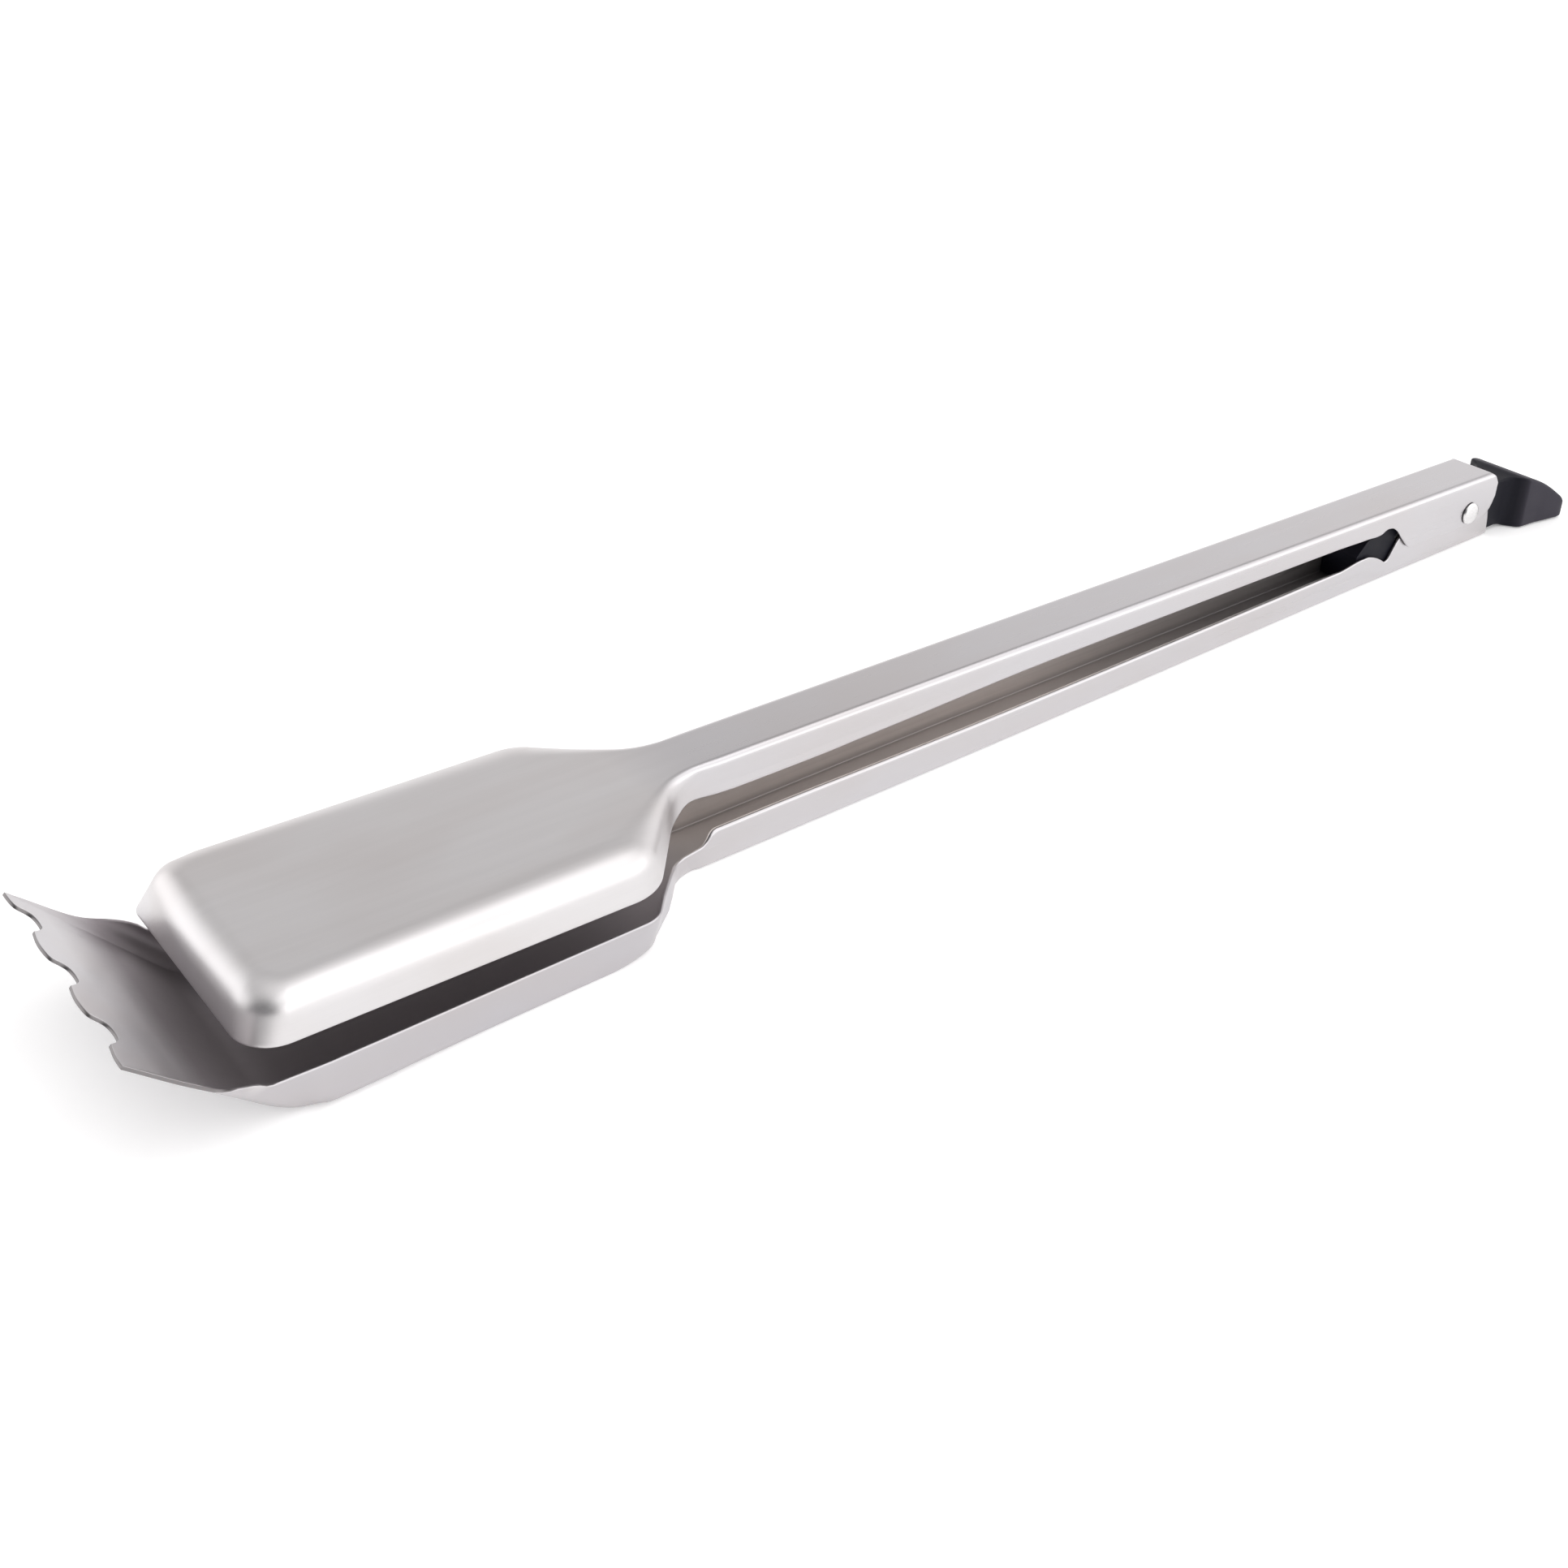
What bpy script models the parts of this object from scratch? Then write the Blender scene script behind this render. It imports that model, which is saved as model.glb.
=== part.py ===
"""Long spring loaded kitchen tongs with a scoop jaw, an upper pressing jaw and a sliding lock.

Lengths below are in millimetres and are turned into metres by MM.
The origin lies on the flat underside, straight below the hinge rivet.
+X points to the pull tab, -X to the jaws, +Z up, and Y = 0 is the plane of symmetry.
"""
import math

import bmesh
import bpy
from mathutils import Matrix, Vector

MM = 0.001
GAP = 0.3

# Sheet metal
SHEET = 0.8
STACK = 21.7
HINGE_Z = 11.2
REST_ANGLE = 1.152

# Handle channels
UPPER_HALF_WIDTH = 8.1
UPPER_BEND = 1.8
LOWER_HALF_WIDTH = 8.3
LOWER_EAR_HALF_WIDTH = 7.0
LOWER_BEND = 1.1
TAPER_START = -50.0
TAPER_END = -200.0
UPPER_WEB_END = 9.1

# Jaws
JAW_HALF_WIDTH = 30.6
JAW_DEPTH = 10.7
UPPER_JAW_BEND = 7.0
UPPER_JAW_INSET = 7.4
UPPER_FRONT_BEND = 8.8
UPPER_FRONT_INSET = 9.4
UPPER_SHOULDER_INSET = 2.9
UPPER_FRONT = -401.9
UPPER_NEAR_CORNER = 9.0
UPPER_FAR_CORNER = 5.0
LOWER_JAW_BEND = 2.8
LOWER_JAW_INSET = 2.4
LOWER_SHOULDER_INSET = 5.0
LOWER_SIDE_END = -386.0
LOWER_FLOOR_FRONT = -391.0
LOWER_FLOOR_CORNER = 5.0
SHOULDER_X = -310.0
NECK_X = -291.3
NECK_END = -284.7
UPPER_HANDLE_END = -279.0
NECK_INSET = -0.5

# Scoop tongue of the lower jaw
TONGUE_TIP_X = -424.5
TONGUE_TIP_Z = 29.8
TONGUE_FAR_Y = 33.4
TONGUE_NEAR_Y = -31.6
TONGUE_BEND = 13.0
CUSP_FLARE = 0.9
TOOTH_PITCH = 20.8
TOOTH_START_Y = -2.8
TOOTH_DEPTH = 4.35

# Hinge
RIVET_RADIUS = 2.0
RIVET_HEAD_RADIUS = 3.4
RIVET_HEAD_HEIGHT = 1.3
HOLE_RADIUS = RIVET_RADIUS + GAP
BUSH_RADIUS = 2.9
BUSH_HALF_LENGTH = 5.9
SPRING_WIRE = 0.9
SPRING_RADIUS = 3.7
SPRING_TURNS = 4
SPRING_PITCH = 1.25
SPRING_REACH = 22.5

# Lock
LOCK_TRAVEL = 6.0
SLIDER_HALF_WIDTH = 5.9
SLIDER_FRONT = -50.0
SLIDER_BACK = 12.5
SLIDER_NOSE = 4.0
SLIDER_BOTTOM = 1.2
SLIDER_TOP = 16.4
POCKET_HALF_WIDTH = 3.4
POCKET_FRONT = -27.0
POCKET_BACK = SPRING_RADIUS + SPRING_WIRE / 2 + GAP + LOCK_TRAVEL + 0.05
TAIL_HALF_WIDTH = 3.0
TAIL_BOTTOM = 5.0
TAIL_TOP = 13.0
TAIL_END = 20.0
TAB_FRONT = SLIDER_BACK + GAP
TAB_BACK = 44.0
TAB_CREST = 26.4
TAB_BOTTOM = 0.2
PIN_RADIUS = 1.25
LOCK_PIN_X = -31.5
LOCK_PIN_Z = 11.2

# Side wall depth of the upper arm, below its top, at each place along it where the edge turns
UPPER_FLANGE = [
    (SHOULDER_X, JAW_DEPTH),
    (-305.0, JAW_DEPTH),
    (-292.0, 9.4),
    (-287.4, 7.9),
    (-284.7, 8.2),
    (-276.0, 8.95),
    (-262.0, 8.95),
    (-228.0, 8.4),
    (-174.0, 6.9),
    (-62.0, 6.5),
    (-51.0, 6.8),
    (-43.2, 6.7),
    (-40.8, 5.7),
    (-38.2, 5.9),
    (-35.5, 7.3),
    (-32.9, 9.9),
    (-29.7, 13.1),
    (-27.7, 14.6),
    (5.0, 14.7),
    (8.5, 13.4),
    (10.3, 11.6),
    (11.8, 8.0),
]

# Side wall height of the lower arm, above the underside
LOWER_FLANGE = [
    (SHOULDER_X, JAW_DEPTH),
    (-291.0, 4.7),
    (-287.4, 5.3),
    (-284.0, 5.9),
    (-282.4, 7.1),
    (-280.5, 9.3),
    (-262.0, 9.2),
    (-228.0, 8.7),
    (-173.0, 8.2),
    (-59.0, 8.0),
    (-48.1, 9.1),
    (-44.3, 8.8),
    (-41.4, 7.7),
    (-39.2, 6.5),
    (-36.6, 5.1),
    (-34.7, 7.8),
    (-32.8, 10.5),
    (-31.2, 11.6),
    (-26.0, 18.0),
    (-22.0, 19.6),
    (0.8, 19.6),
    (3.3, 19.1),
    (6.1, 17.3),
    (9.0, 13.2),
    (11.2, 9.6),
    (12.2, 6.2),
    (12.6, 3.0),
]

# How far the top of the upper ears drops behind the end of the web
EAR_LIP = [(UPPER_WEB_END, 0.0), (10.3, 0.9), (11.0, 1.9), (11.8, 3.2)]

# One tooth of the scalloped edge: share of the pitch from its tip, and share of the tooth depth
TOOTH = [
    (0.0, 0.23),
    (0.15, 0.09),
    (0.3, 0.0),
    (0.45, 0.07),
    (0.51, 0.18),
    (0.54, 0.55),
    (0.59, 0.86),
    (0.7, 1.0),
    (0.81, 0.99),
    (0.89, 0.78),
    (1.0, 0.23),
]


def clear_scene():
    for item in list(bpy.data.objects):
        bpy.data.objects.remove(item, do_unlink=True)


def material(name, color, roughness, metallic):
    result = bpy.data.materials.new(name)
    result.use_nodes = True
    shader = result.node_tree.nodes["Principled BSDF"]
    shader.inputs["Base Color"].default_value = (*color, 1.0)
    shader.inputs["Roughness"].default_value = roughness
    shader.inputs["Metallic"].default_value = metallic
    return result


def new_object(name, mesh, finish):
    mesh.materials.append(finish)
    result = bpy.data.objects.new(name, mesh)
    bpy.context.scene.collection.objects.link(result)
    return result


def mesh_from(name, vertices, faces):
    """Makes a mesh in metres from corners in millimetres."""
    mesh = bpy.data.meshes.new(name)
    mesh.from_pydata([Vector(corner) * MM for corner in vertices], [], faces)
    mesh.update()
    return mesh


def recalculate_outside(mesh):
    shape = bmesh.new()
    shape.from_mesh(mesh)
    bmesh.ops.recalc_face_normals(shape, faces=shape.faces)
    shape.to_mesh(mesh)
    shape.free()


def shade_round(mesh, angle=35.0):
    mesh.shade_smooth()
    mesh.set_sharp_from_angle(angle=math.radians(angle))


def guide(item):
    item.hide_render = True
    item.display_type = "WIRE"


def cut(target, cutter, operation="DIFFERENCE"):
    modifier = target.modifiers.new(f"{operation.lower()}_{cutter.name}", "BOOLEAN")
    modifier.operation = operation
    modifier.solver = "EXACT"
    modifier.object = cutter
    guide(cutter)


def interpolate(keys, position):
    """Reads a broken line given as (position, value) pairs in rising order of position."""
    for (left, low), (right, high) in zip(keys, keys[1:]):
        if position <= right:
            share = max(0.0, (position - left) / (right - left))
            return low + (high - low) * share
    return keys[-1][1]


def fillet(before, corner, after, radius, count):
    """Points of the arc that rounds a corner of a plan outline, from tangent to tangent."""
    corner = Vector(corner)
    back = (Vector(before) - corner).normalized()
    ahead = (Vector(after) - corner).normalized()
    half = back.angle(ahead) / 2
    centre = corner + (back + ahead).normalized() * (radius / math.sin(half))
    start = corner + back * (radius / math.tan(half)) - centre
    end = corner + ahead * (radius / math.tan(half)) - centre
    turn = start.angle_signed(end)
    points = []
    for step in range(count):
        angle = turn * step / (count - 1)
        points.append(centre + Matrix.Rotation(-angle, 2) @ start)
    return points


def wall_profile(base, rim, height, bend, arc_steps, wall_steps):
    """A wall that leaves a flat floor at base, bends up and runs straight to the rim.

    base and rim are plan points; the result is a list of points with z measured from the floor.
    """
    base = Vector(base)
    run = Vector(rim) - base
    length = run.length
    outward = run.normalized()
    bend = min(bend, length, 0.8 * height)
    reach = math.hypot(length, height - bend)
    slope = math.atan2(height - bend, length) + math.asin(min(1.0, bend / reach))
    points = []
    for step in range(arc_steps + 1):
        angle = slope * step / arc_steps
        spot = base + outward * (bend * math.sin(angle))
        points.append((spot.x, spot.y, bend * (1 - math.cos(angle))))
    x0, y0, z0 = points[-1]
    for step in range(1, wall_steps + 1):
        share = step / wall_steps
        x = x0 + (rim[0] - x0) * share
        y = y0 + (rim[1] - y0) * share
        points.append((x, y, z0 + (height - z0) * share))
    return points


def tray_mesh(name, near, far, floor_from, front_from):
    """One open skin: a row of wall profiles down the near side, back up the far side, and a floor.

    near and far are lists of profiles that start at the tail and end at the front.
    The floor joins them from the profile numbered floor_from, and ends in one face that takes in
    the whole straight front, which starts at the profile numbered front_from.
    """
    loop = near + far[::-1]
    size = len(near[0])
    vertices = [point for profile in loop for point in profile]
    faces = []
    for row in range(len(loop) - 1):
        for column in range(size - 1):
            first = row * size + column
            faces.append((first, first + 1, first + size + 1, first + size))
    last = len(loop) - 1
    for row in range(floor_from, front_from - 1):
        faces.append((row * size, (row + 1) * size, (last - row - 1) * size, (last - row) * size))
    faces.append(tuple(row * size for row in range(front_from - 1, last - front_from + 2)))
    return mesh_from(name, vertices, faces)


def face_away_from_inside(mesh, up):
    """Makes the skin's normals agree, with the floor's pointing out of the tray."""
    recalculate_outside(mesh)
    total = sum(face.normal.z * face.area for face in mesh.polygons)
    if total * up > 0:
        mesh.flip_normals()


def sheet_object(name, mesh, finish):
    shade_round(mesh)
    result = new_object(name, mesh, finish)
    solid = result.modifiers.new("sheet", "SOLIDIFY")
    solid.thickness = SHEET * MM
    solid.offset = -1.0
    solid.use_even_offset = True
    return result


def outline_through(corners, radii, arc_points=6):
    """The points of a plan outline: an arc at each of its inner corners, with that radius."""
    points = []
    for index, radius in enumerate(radii):
        before, corner, after = corners[index : index + 3]
        points.extend(tuple(point) for point in fillet(before, corner, after, radius, arc_points))
    return points


def handle_positions(first_x, stops, last_x):
    """Stations along a handle: the stops that its edge needs and evenly spaced ones between."""
    marks = sorted({first_x, last_x, *(x for x in stops if last_x < x < first_x)}, reverse=True)
    positions = [marks[0]]
    for left, right in zip(marks, marks[1:]):
        parts = max(1, math.ceil((left - right) / 40.0))
        positions.extend(left + (right - left) * part / parts for part in range(1, parts + 1))
    return positions


def edge_stops(flange):
    """The places along the handle where a flange edge turns."""
    return [x for x, _ in flange if x > NECK_END]


def upper_arm(finish):
    """The upper channel and pressing jaw, one stamped sheet, open downwards."""
    stops = edge_stops(UPPER_FLANGE) + [x for x, _ in EAR_LIP]
    handle_x = handle_positions(UPPER_FLANGE[-1][0], stops, UPPER_HANDLE_END)
    top_edge = UPPER_HALF_WIDTH - UPPER_BEND
    jaw_top_side = JAW_HALF_WIDTH - UPPER_JAW_INSET
    jaw_top_front = UPPER_FRONT + UPPER_FRONT_INSET
    bends = [
        (UPPER_FRONT, UPPER_FRONT_BEND),
        (UPPER_FRONT + 8.0, UPPER_JAW_BEND),
        (NECK_END - 16.0, UPPER_JAW_BEND),
        (NECK_END, UPPER_BEND),
    ]
    front_steps = 5
    walls = {}
    for side, corner_radius in ((-1, UPPER_NEAR_CORNER), (1, UPPER_FAR_CORNER)):
        rim_corners = [
            (UPPER_HANDLE_END, UPPER_HALF_WIDTH),
            (NECK_X, UPPER_HALF_WIDTH),
            (SHOULDER_X, JAW_HALF_WIDTH),
            (UPPER_FRONT, JAW_HALF_WIDTH),
            (UPPER_FRONT, 0.0),
        ]
        base_corners = [
            (UPPER_HANDLE_END, top_edge),
            (NECK_X - NECK_INSET, top_edge),
            (SHOULDER_X - UPPER_SHOULDER_INSET, jaw_top_side),
            (jaw_top_front, jaw_top_side),
            (jaw_top_front, 0.0),
        ]
        rim = [(x, UPPER_HALF_WIDTH) for x in handle_x]
        base = [(x, top_edge) for x in handle_x]
        rim += outline_through(rim_corners, (16.0, 13.0, corner_radius))
        base += outline_through(base_corners, (24.0, 7.0, 3.5))
        front_from = len(rim) - 1
        for step in range(1, front_steps):
            left = 1 - step / front_steps
            rim.append((UPPER_FRONT, rim[front_from][1] * left))
            base.append((jaw_top_front, base[front_from][1] * left))
        walls[side] = []
        for (x, y), (base_x, base_y) in zip(rim, base):
            lip = interpolate(EAR_LIP, x)
            if lip > 0.0:
                base_y = UPPER_HALF_WIDTH - max(0.25, 0.5 * (UPPER_BEND - lip))
            height = interpolate(UPPER_FLANGE, x) - lip
            foot = (base_x, side * base_y)
            wall = wall_profile(foot, (x, side * y), height, interpolate(bends, x), 4, 2)
            walls[side].append([(wall_x, wall_y, STACK - lip - z) for wall_x, wall_y, z in wall])
    floor_from = next(index for index, (x, _) in enumerate(rim) if x <= UPPER_WEB_END)
    mesh = tray_mesh("upper_arm", walls[-1], walls[1], floor_from, front_from)
    face_away_from_inside(mesh, -1)
    pivot = Vector((0.0, 0.0, HINGE_Z)) * MM
    mesh.transform(Matrix.Translation(-pivot))
    arm = sheet_object("upper_arm", mesh, finish)
    arm.location = pivot
    arm.rotation_euler = (0.0, math.radians(REST_ANGLE), 0.0)
    return arm


def tooth_bite(y):
    """How far the scalloped edge lies back from the tongue's outermost line at y."""
    share = ((TOOTH_START_Y - y) / TOOTH_PITCH) % 1.0
    return TOOTH_DEPTH * interpolate(TOOTH, share)


def tongue_edge(y):
    """A point of the tongue's scalloped edge; the bites run down the 45 degree slope."""
    back = tooth_bite(y) * math.sqrt(0.5)
    return Vector((TONGUE_TIP_X + back, y, TONGUE_TIP_Z - back))


def tooth_stations():
    """Places across the tongue, from far to near, wherever its scalloped edge turns."""
    places = []
    for tooth in range(-2, 3):
        places += [TOOTH_START_Y - (tooth + share) * TOOTH_PITCH for share, _ in TOOTH[:-1]]
    inside = 0.8
    return [y for y in places if TONGUE_NEAR_Y + inside < y < TONGUE_FAR_Y - inside]


def jaw_corner(tip, flare):
    """The lower jaw's rim, from the end of its straight side (share 0) over the cusp to the tip.

    flare moves the cusp outwards and up: the far side is pressed a little wider. It fades out
    where the upper jaw comes down beside the rim.
    """
    cusp = Vector((-408.7, 32.3 + flare, 16.2 + flare))
    return [
        (0.0, Vector((LOWER_SIDE_END, JAW_HALF_WIDTH, JAW_DEPTH))),
        (0.2, Vector((-398.0, 30.4 + 0.3 * flare, 10.8))),
        (0.35, Vector((-401.0, 30.9 + 0.7 * flare, 13.2 + 0.7 * flare))),
        (0.5, Vector((-404.0, 31.6 + flare, 14.2 + flare))),
        (0.65, cusp),
        (0.82, cusp.lerp(tip, 0.5)),
        (1.0, tip),
    ]


def lower_half_width(x):
    keys = [(TAPER_END, LOWER_HALF_WIDTH), (TAPER_START, LOWER_EAR_HALF_WIDTH)]
    return interpolate(keys, x)


def lower_arm(finish):
    """The lower channel and scoop jaw, one stamped sheet, open upwards."""
    stops = edge_stops(LOWER_FLANGE) + [TAPER_START, TAPER_END]
    handle_x = handle_positions(LOWER_FLANGE[-1][0], stops, NECK_END)
    floor_side = JAW_HALF_WIDTH - LOWER_JAW_INSET
    rim_corners = [
        (NECK_END, LOWER_HALF_WIDTH),
        (NECK_X, LOWER_HALF_WIDTH),
        (SHOULDER_X, JAW_HALF_WIDTH),
        (LOWER_SIDE_END, JAW_HALF_WIDTH),
    ]
    base_corners = [
        (NECK_END, LOWER_HALF_WIDTH - LOWER_BEND),
        (NECK_X - NECK_INSET, LOWER_HALF_WIDTH - LOWER_BEND),
        (SHOULDER_X - LOWER_SHOULDER_INSET, floor_side),
        (LOWER_SIDE_END, floor_side),
    ]
    rim = [(x, lower_half_width(x)) for x in handle_x]
    base = [(x, lower_half_width(x) - LOWER_BEND) for x in handle_x]
    rim += outline_through(rim_corners, (6.0, 6.5))
    base += outline_through(base_corners, (9.0, 22.0))
    front_from = len(rim)
    walls = {}
    for side, tip_y in ((-1, TONGUE_NEAR_Y), (1, TONGUE_FAR_Y)):
        walls[side] = []
        for (x, y), (base_x, base_y) in zip(rim, base):
            bend = LOWER_BEND if x >= NECK_END else LOWER_JAW_BEND
            foot = (base_x, side * base_y)
            height = interpolate(LOWER_FLANGE, x)
            walls[side].append(wall_profile(foot, (x, side * y), height, bend, 4, 2))
        tip = tongue_edge(tip_y)
        tip.y = abs(tip.y)
        corner = jaw_corner(tip, CUSP_FLARE if side > 0 else 0.0)
        for share, spot in corner:
            angle = math.radians(90.0) * share
            foot_x = LOWER_FLOOR_FRONT + LOWER_FLOOR_CORNER * (1 - math.sin(angle))
            foot_y = floor_side - LOWER_FLOOR_CORNER * (1 - math.cos(angle))
            bend = LOWER_JAW_BEND + (TONGUE_BEND - LOWER_JAW_BEND) * share
            edge = (spot.x, side * spot.y)
            walls[side].append(wall_profile((foot_x, side * foot_y), edge, spot.z, bend, 4, 2))
        across = [y for y in tooth_stations() if y * side > 0]
        for y in sorted(across, key=abs, reverse=True):
            edge = tongue_edge(y)
            foot = (LOWER_FLOOR_FRONT, (floor_side - LOWER_FLOOR_CORNER) * y / abs(tip_y))
            walls[side].append(wall_profile(foot, (edge.x, edge.y), edge.z, TONGUE_BEND, 4, 2))
    mesh = tray_mesh("lower_arm", walls[-1], walls[1], 0, front_from + len(corner) - 1)
    face_away_from_inside(mesh, 1)
    return sheet_object("lower_arm", mesh, finish)


def turned(name, profile, finish, centre, segments=24):
    """A solid of revolution about an axis along Y; profile lists (radius, y) and closes on itself."""
    vertices = []
    rings = []
    for radius, y in profile:
        if radius == 0.0:
            rings.append([len(vertices)])
            vertices.append((0.0, y, 0.0))
            continue
        rings.append(list(range(len(vertices), len(vertices) + segments)))
        for step in range(segments):
            angle = math.tau * step / segments
            vertices.append((radius * math.cos(angle), y, radius * math.sin(angle)))
    faces = []
    pairs = list(zip(rings, rings[1:]))
    if len(rings[0]) > 1:
        pairs.append((rings[-1], rings[0]))
    for low, high in pairs:
        for step in range(segments):
            after = (step + 1) % segments
            if len(low) == 1:
                faces.append((low[0], high[after], high[step]))
            elif len(high) == 1:
                faces.append((low[step], low[after], high[0]))
            else:
                faces.append((low[step], low[after], high[after], high[step]))
    mesh = mesh_from(name, vertices, faces)
    recalculate_outside(mesh)
    shade_round(mesh)
    result = new_object(name, mesh, finish)
    result.location = Vector(centre) * MM
    return result


def pin(name, radius, half_length, finish, centre, segments=20):
    profile = [(0.0, -half_length), (radius, -half_length), (radius, half_length), (0.0, half_length)]
    return turned(name, profile, finish, centre, segments)


def hinge_rivet(finish):
    """A headed shank through both pairs of ears, with a low dome at each end."""
    face = UPPER_HALF_WIDTH + GAP
    dome = []
    for step in range(6):
        angle = math.radians(90.0) * step / 5
        height = RIVET_HEAD_HEIGHT * (0.3 + 0.7 * math.cos(angle))
        dome.append((RIVET_HEAD_RADIUS * math.sin(angle), face + height))
    dome[0] = (0.0, dome[0][1])
    head = dome + [(RIVET_HEAD_RADIUS, face), (RIVET_RADIUS, face)]
    profile = head + [(radius, -y) for radius, y in head[::-1]]
    return turned("hinge_rivet", profile, finish, (0.0, 0.0, HINGE_Z), 32)


def pivot_bush(finish):
    """A spacer tube on the rivet that keeps the ears apart and guides the lock slider."""
    profile = [
        (HOLE_RADIUS, -BUSH_HALF_LENGTH),
        (BUSH_RADIUS, -BUSH_HALF_LENGTH),
        (BUSH_RADIUS, BUSH_HALF_LENGTH),
        (HOLE_RADIUS, BUSH_HALF_LENGTH),
    ]
    return turned("pivot_bush", profile, finish, (0.0, 0.0, HINGE_Z), 24)


def torsion_spring(finish):
    """Coils round the bush with one leg under the upper arm and one on the lower arm's floor."""
    half = SPRING_TURNS * SPRING_PITCH / 2
    steps = 16
    upper_rise = STACK - SHEET - GAP - SPRING_WIRE / 2 - HINGE_Z
    lower_drop = HINGE_Z - SHEET - GAP - SPRING_WIRE / 2
    path = [(-SPRING_REACH, -half, upper_rise), (-SPRING_REACH * 0.75, -half, upper_rise - 0.6)]
    path.append((-SPRING_REACH * 0.3, -half, SPRING_RADIUS + 2.2))
    total = int((SPRING_TURNS + 0.5) * steps)
    for step in range(total + 1):
        angle = math.tau * step / steps
        y = -half + 2 * half * step / total
        path.append((SPRING_RADIUS * math.sin(angle), y, SPRING_RADIUS * math.cos(angle)))
    path.append((-SPRING_REACH * 0.3, half, -SPRING_RADIUS - 2.2))
    path.append((-SPRING_REACH * 0.75, half, 0.6 - lower_drop))
    path.append((-SPRING_REACH, half, -lower_drop))
    curve = bpy.data.curves.new("torsion_spring", "CURVE")
    curve.dimensions = "3D"
    curve.bevel_depth = SPRING_WIRE / 2 * MM
    curve.bevel_resolution = 1
    curve.use_fill_caps = True
    spline = curve.splines.new("POLY")
    spline.points.add(len(path) - 1)
    for point, place in zip(spline.points, path):
        point.co = (*(Vector(place) * MM), 1.0)
    curve.materials.append(finish)
    result = bpy.data.objects.new("torsion_spring", curve)
    bpy.context.scene.collection.objects.link(result)
    result.location = (0.0, 0.0, HINGE_Z * MM)
    return result


def extruded(name, outline, low, high, axis, finish):
    """A prism on a closed outline; axis "Y" takes (x, z) points and "Z" takes (x, y) points."""
    def place(point, depth):
        first, second = point
        return (first, depth, second) if axis == "Y" else (first, second, depth)

    count = len(outline)
    vertices = [place(point, low) for point in outline] + [place(point, high) for point in outline]
    faces = [tuple(range(count)), tuple(range(count, 2 * count))]
    for index in range(count):
        after = (index + 1) % count
        faces.append((index, after, count + after, count + index))
    mesh = mesh_from(name, vertices, faces)
    recalculate_outside(mesh)
    return new_object(name, mesh, finish)


def stadium(left, right, centre, radius, steps=8):
    """A slot's outline with round ends."""
    points = []
    for middle, start in ((right, -90.0), (left, 90.0)):
        for step in range(steps + 1):
            angle = math.radians(start + 180.0 * step / steps)
            points.append((middle + radius * math.cos(angle), centre + radius * math.sin(angle)))
    return points


def lock_slider(finish):
    """A moulded bar on the lower arm's floor, with a well for the spring and slots for the bush."""
    outline = [
        (SLIDER_FRONT, SLIDER_BOTTOM),
        (SLIDER_BACK, SLIDER_BOTTOM),
        (SLIDER_BACK, SLIDER_TOP),
        (LOCK_PIN_X - 6.0, SLIDER_TOP),
        (SLIDER_FRONT + SLIDER_NOSE, SLIDER_TOP - 2.5),
        (SLIDER_FRONT, SLIDER_TOP - 2.5 - SLIDER_NOSE),
    ]
    bar = extruded("lock_slider", outline, -SLIDER_HALF_WIDTH, SLIDER_HALF_WIDTH, "Y", finish)
    pocket_outline = [
        (POCKET_FRONT, -POCKET_HALF_WIDTH),
        (POCKET_BACK, -POCKET_HALF_WIDTH),
        (POCKET_BACK, POCKET_HALF_WIDTH),
        (POCKET_FRONT, POCKET_HALF_WIDTH),
    ]
    cut(bar, extruded("slider_pocket_cutter", pocket_outline, 0.0, STACK, "Z", finish))
    slot = stadium(0.0, LOCK_TRAVEL, HINGE_Z, BUSH_RADIUS + GAP)
    cut(bar, extruded("slider_slot_cutter", slot, -10.0, 10.0, "Y", finish))
    hole = stadium(LOCK_PIN_X, LOCK_PIN_X, LOCK_PIN_Z, PIN_RADIUS + GAP)
    cut(bar, extruded("lock_pin_cutter", hole[:-1], -10.0, 10.0, "Y", finish))
    return bar


def pull_tab(finish):
    """The flared thumb grip behind the hinge: a plan outline met by a side outline."""
    neck_end = 18.7
    half_plan = [
        (TAB_FRONT, SLIDER_HALF_WIDTH),
        (neck_end, SLIDER_HALF_WIDTH),
        (21.8, 6.7),
        (23.6, 8.7),
        (25.2, 10.7),
        (TAB_CREST, 11.1),
        (31.7, 11.7),
        (39.2, 13.0),
        (42.0, 13.4),
        (43.6, 12.8),
        (TAB_BACK, 11.0),
    ]
    plan = half_plan + [(x, -y) for x, y in half_plan[::-1]]
    side = [
        (TAB_FRONT, SLIDER_BOTTOM),
        (neck_end, SLIDER_BOTTOM),
        (23.0, TAB_BOTTOM),
        (TAB_BACK - 0.5, TAB_BOTTOM),
        (TAB_BACK, 1.3),
        (43.6, 4.1),
        (42.0, 6.7),
        (39.2, 8.9),
        (35.3, 11.8),
        (31.7, 14.0),
        (28.8, 15.6),
        (TAB_CREST, 16.2),
        (24.2, 16.5),
        (neck_end, SLIDER_TOP),
        (TAB_FRONT, SLIDER_TOP),
    ]
    tab = extruded("pull_tab", plan, -1.0, STACK, "Z", finish)
    cut(tab, extruded("tab_side_guide", side, -20.0, 20.0, "Y", finish), "INTERSECT")
    return tab


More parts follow.
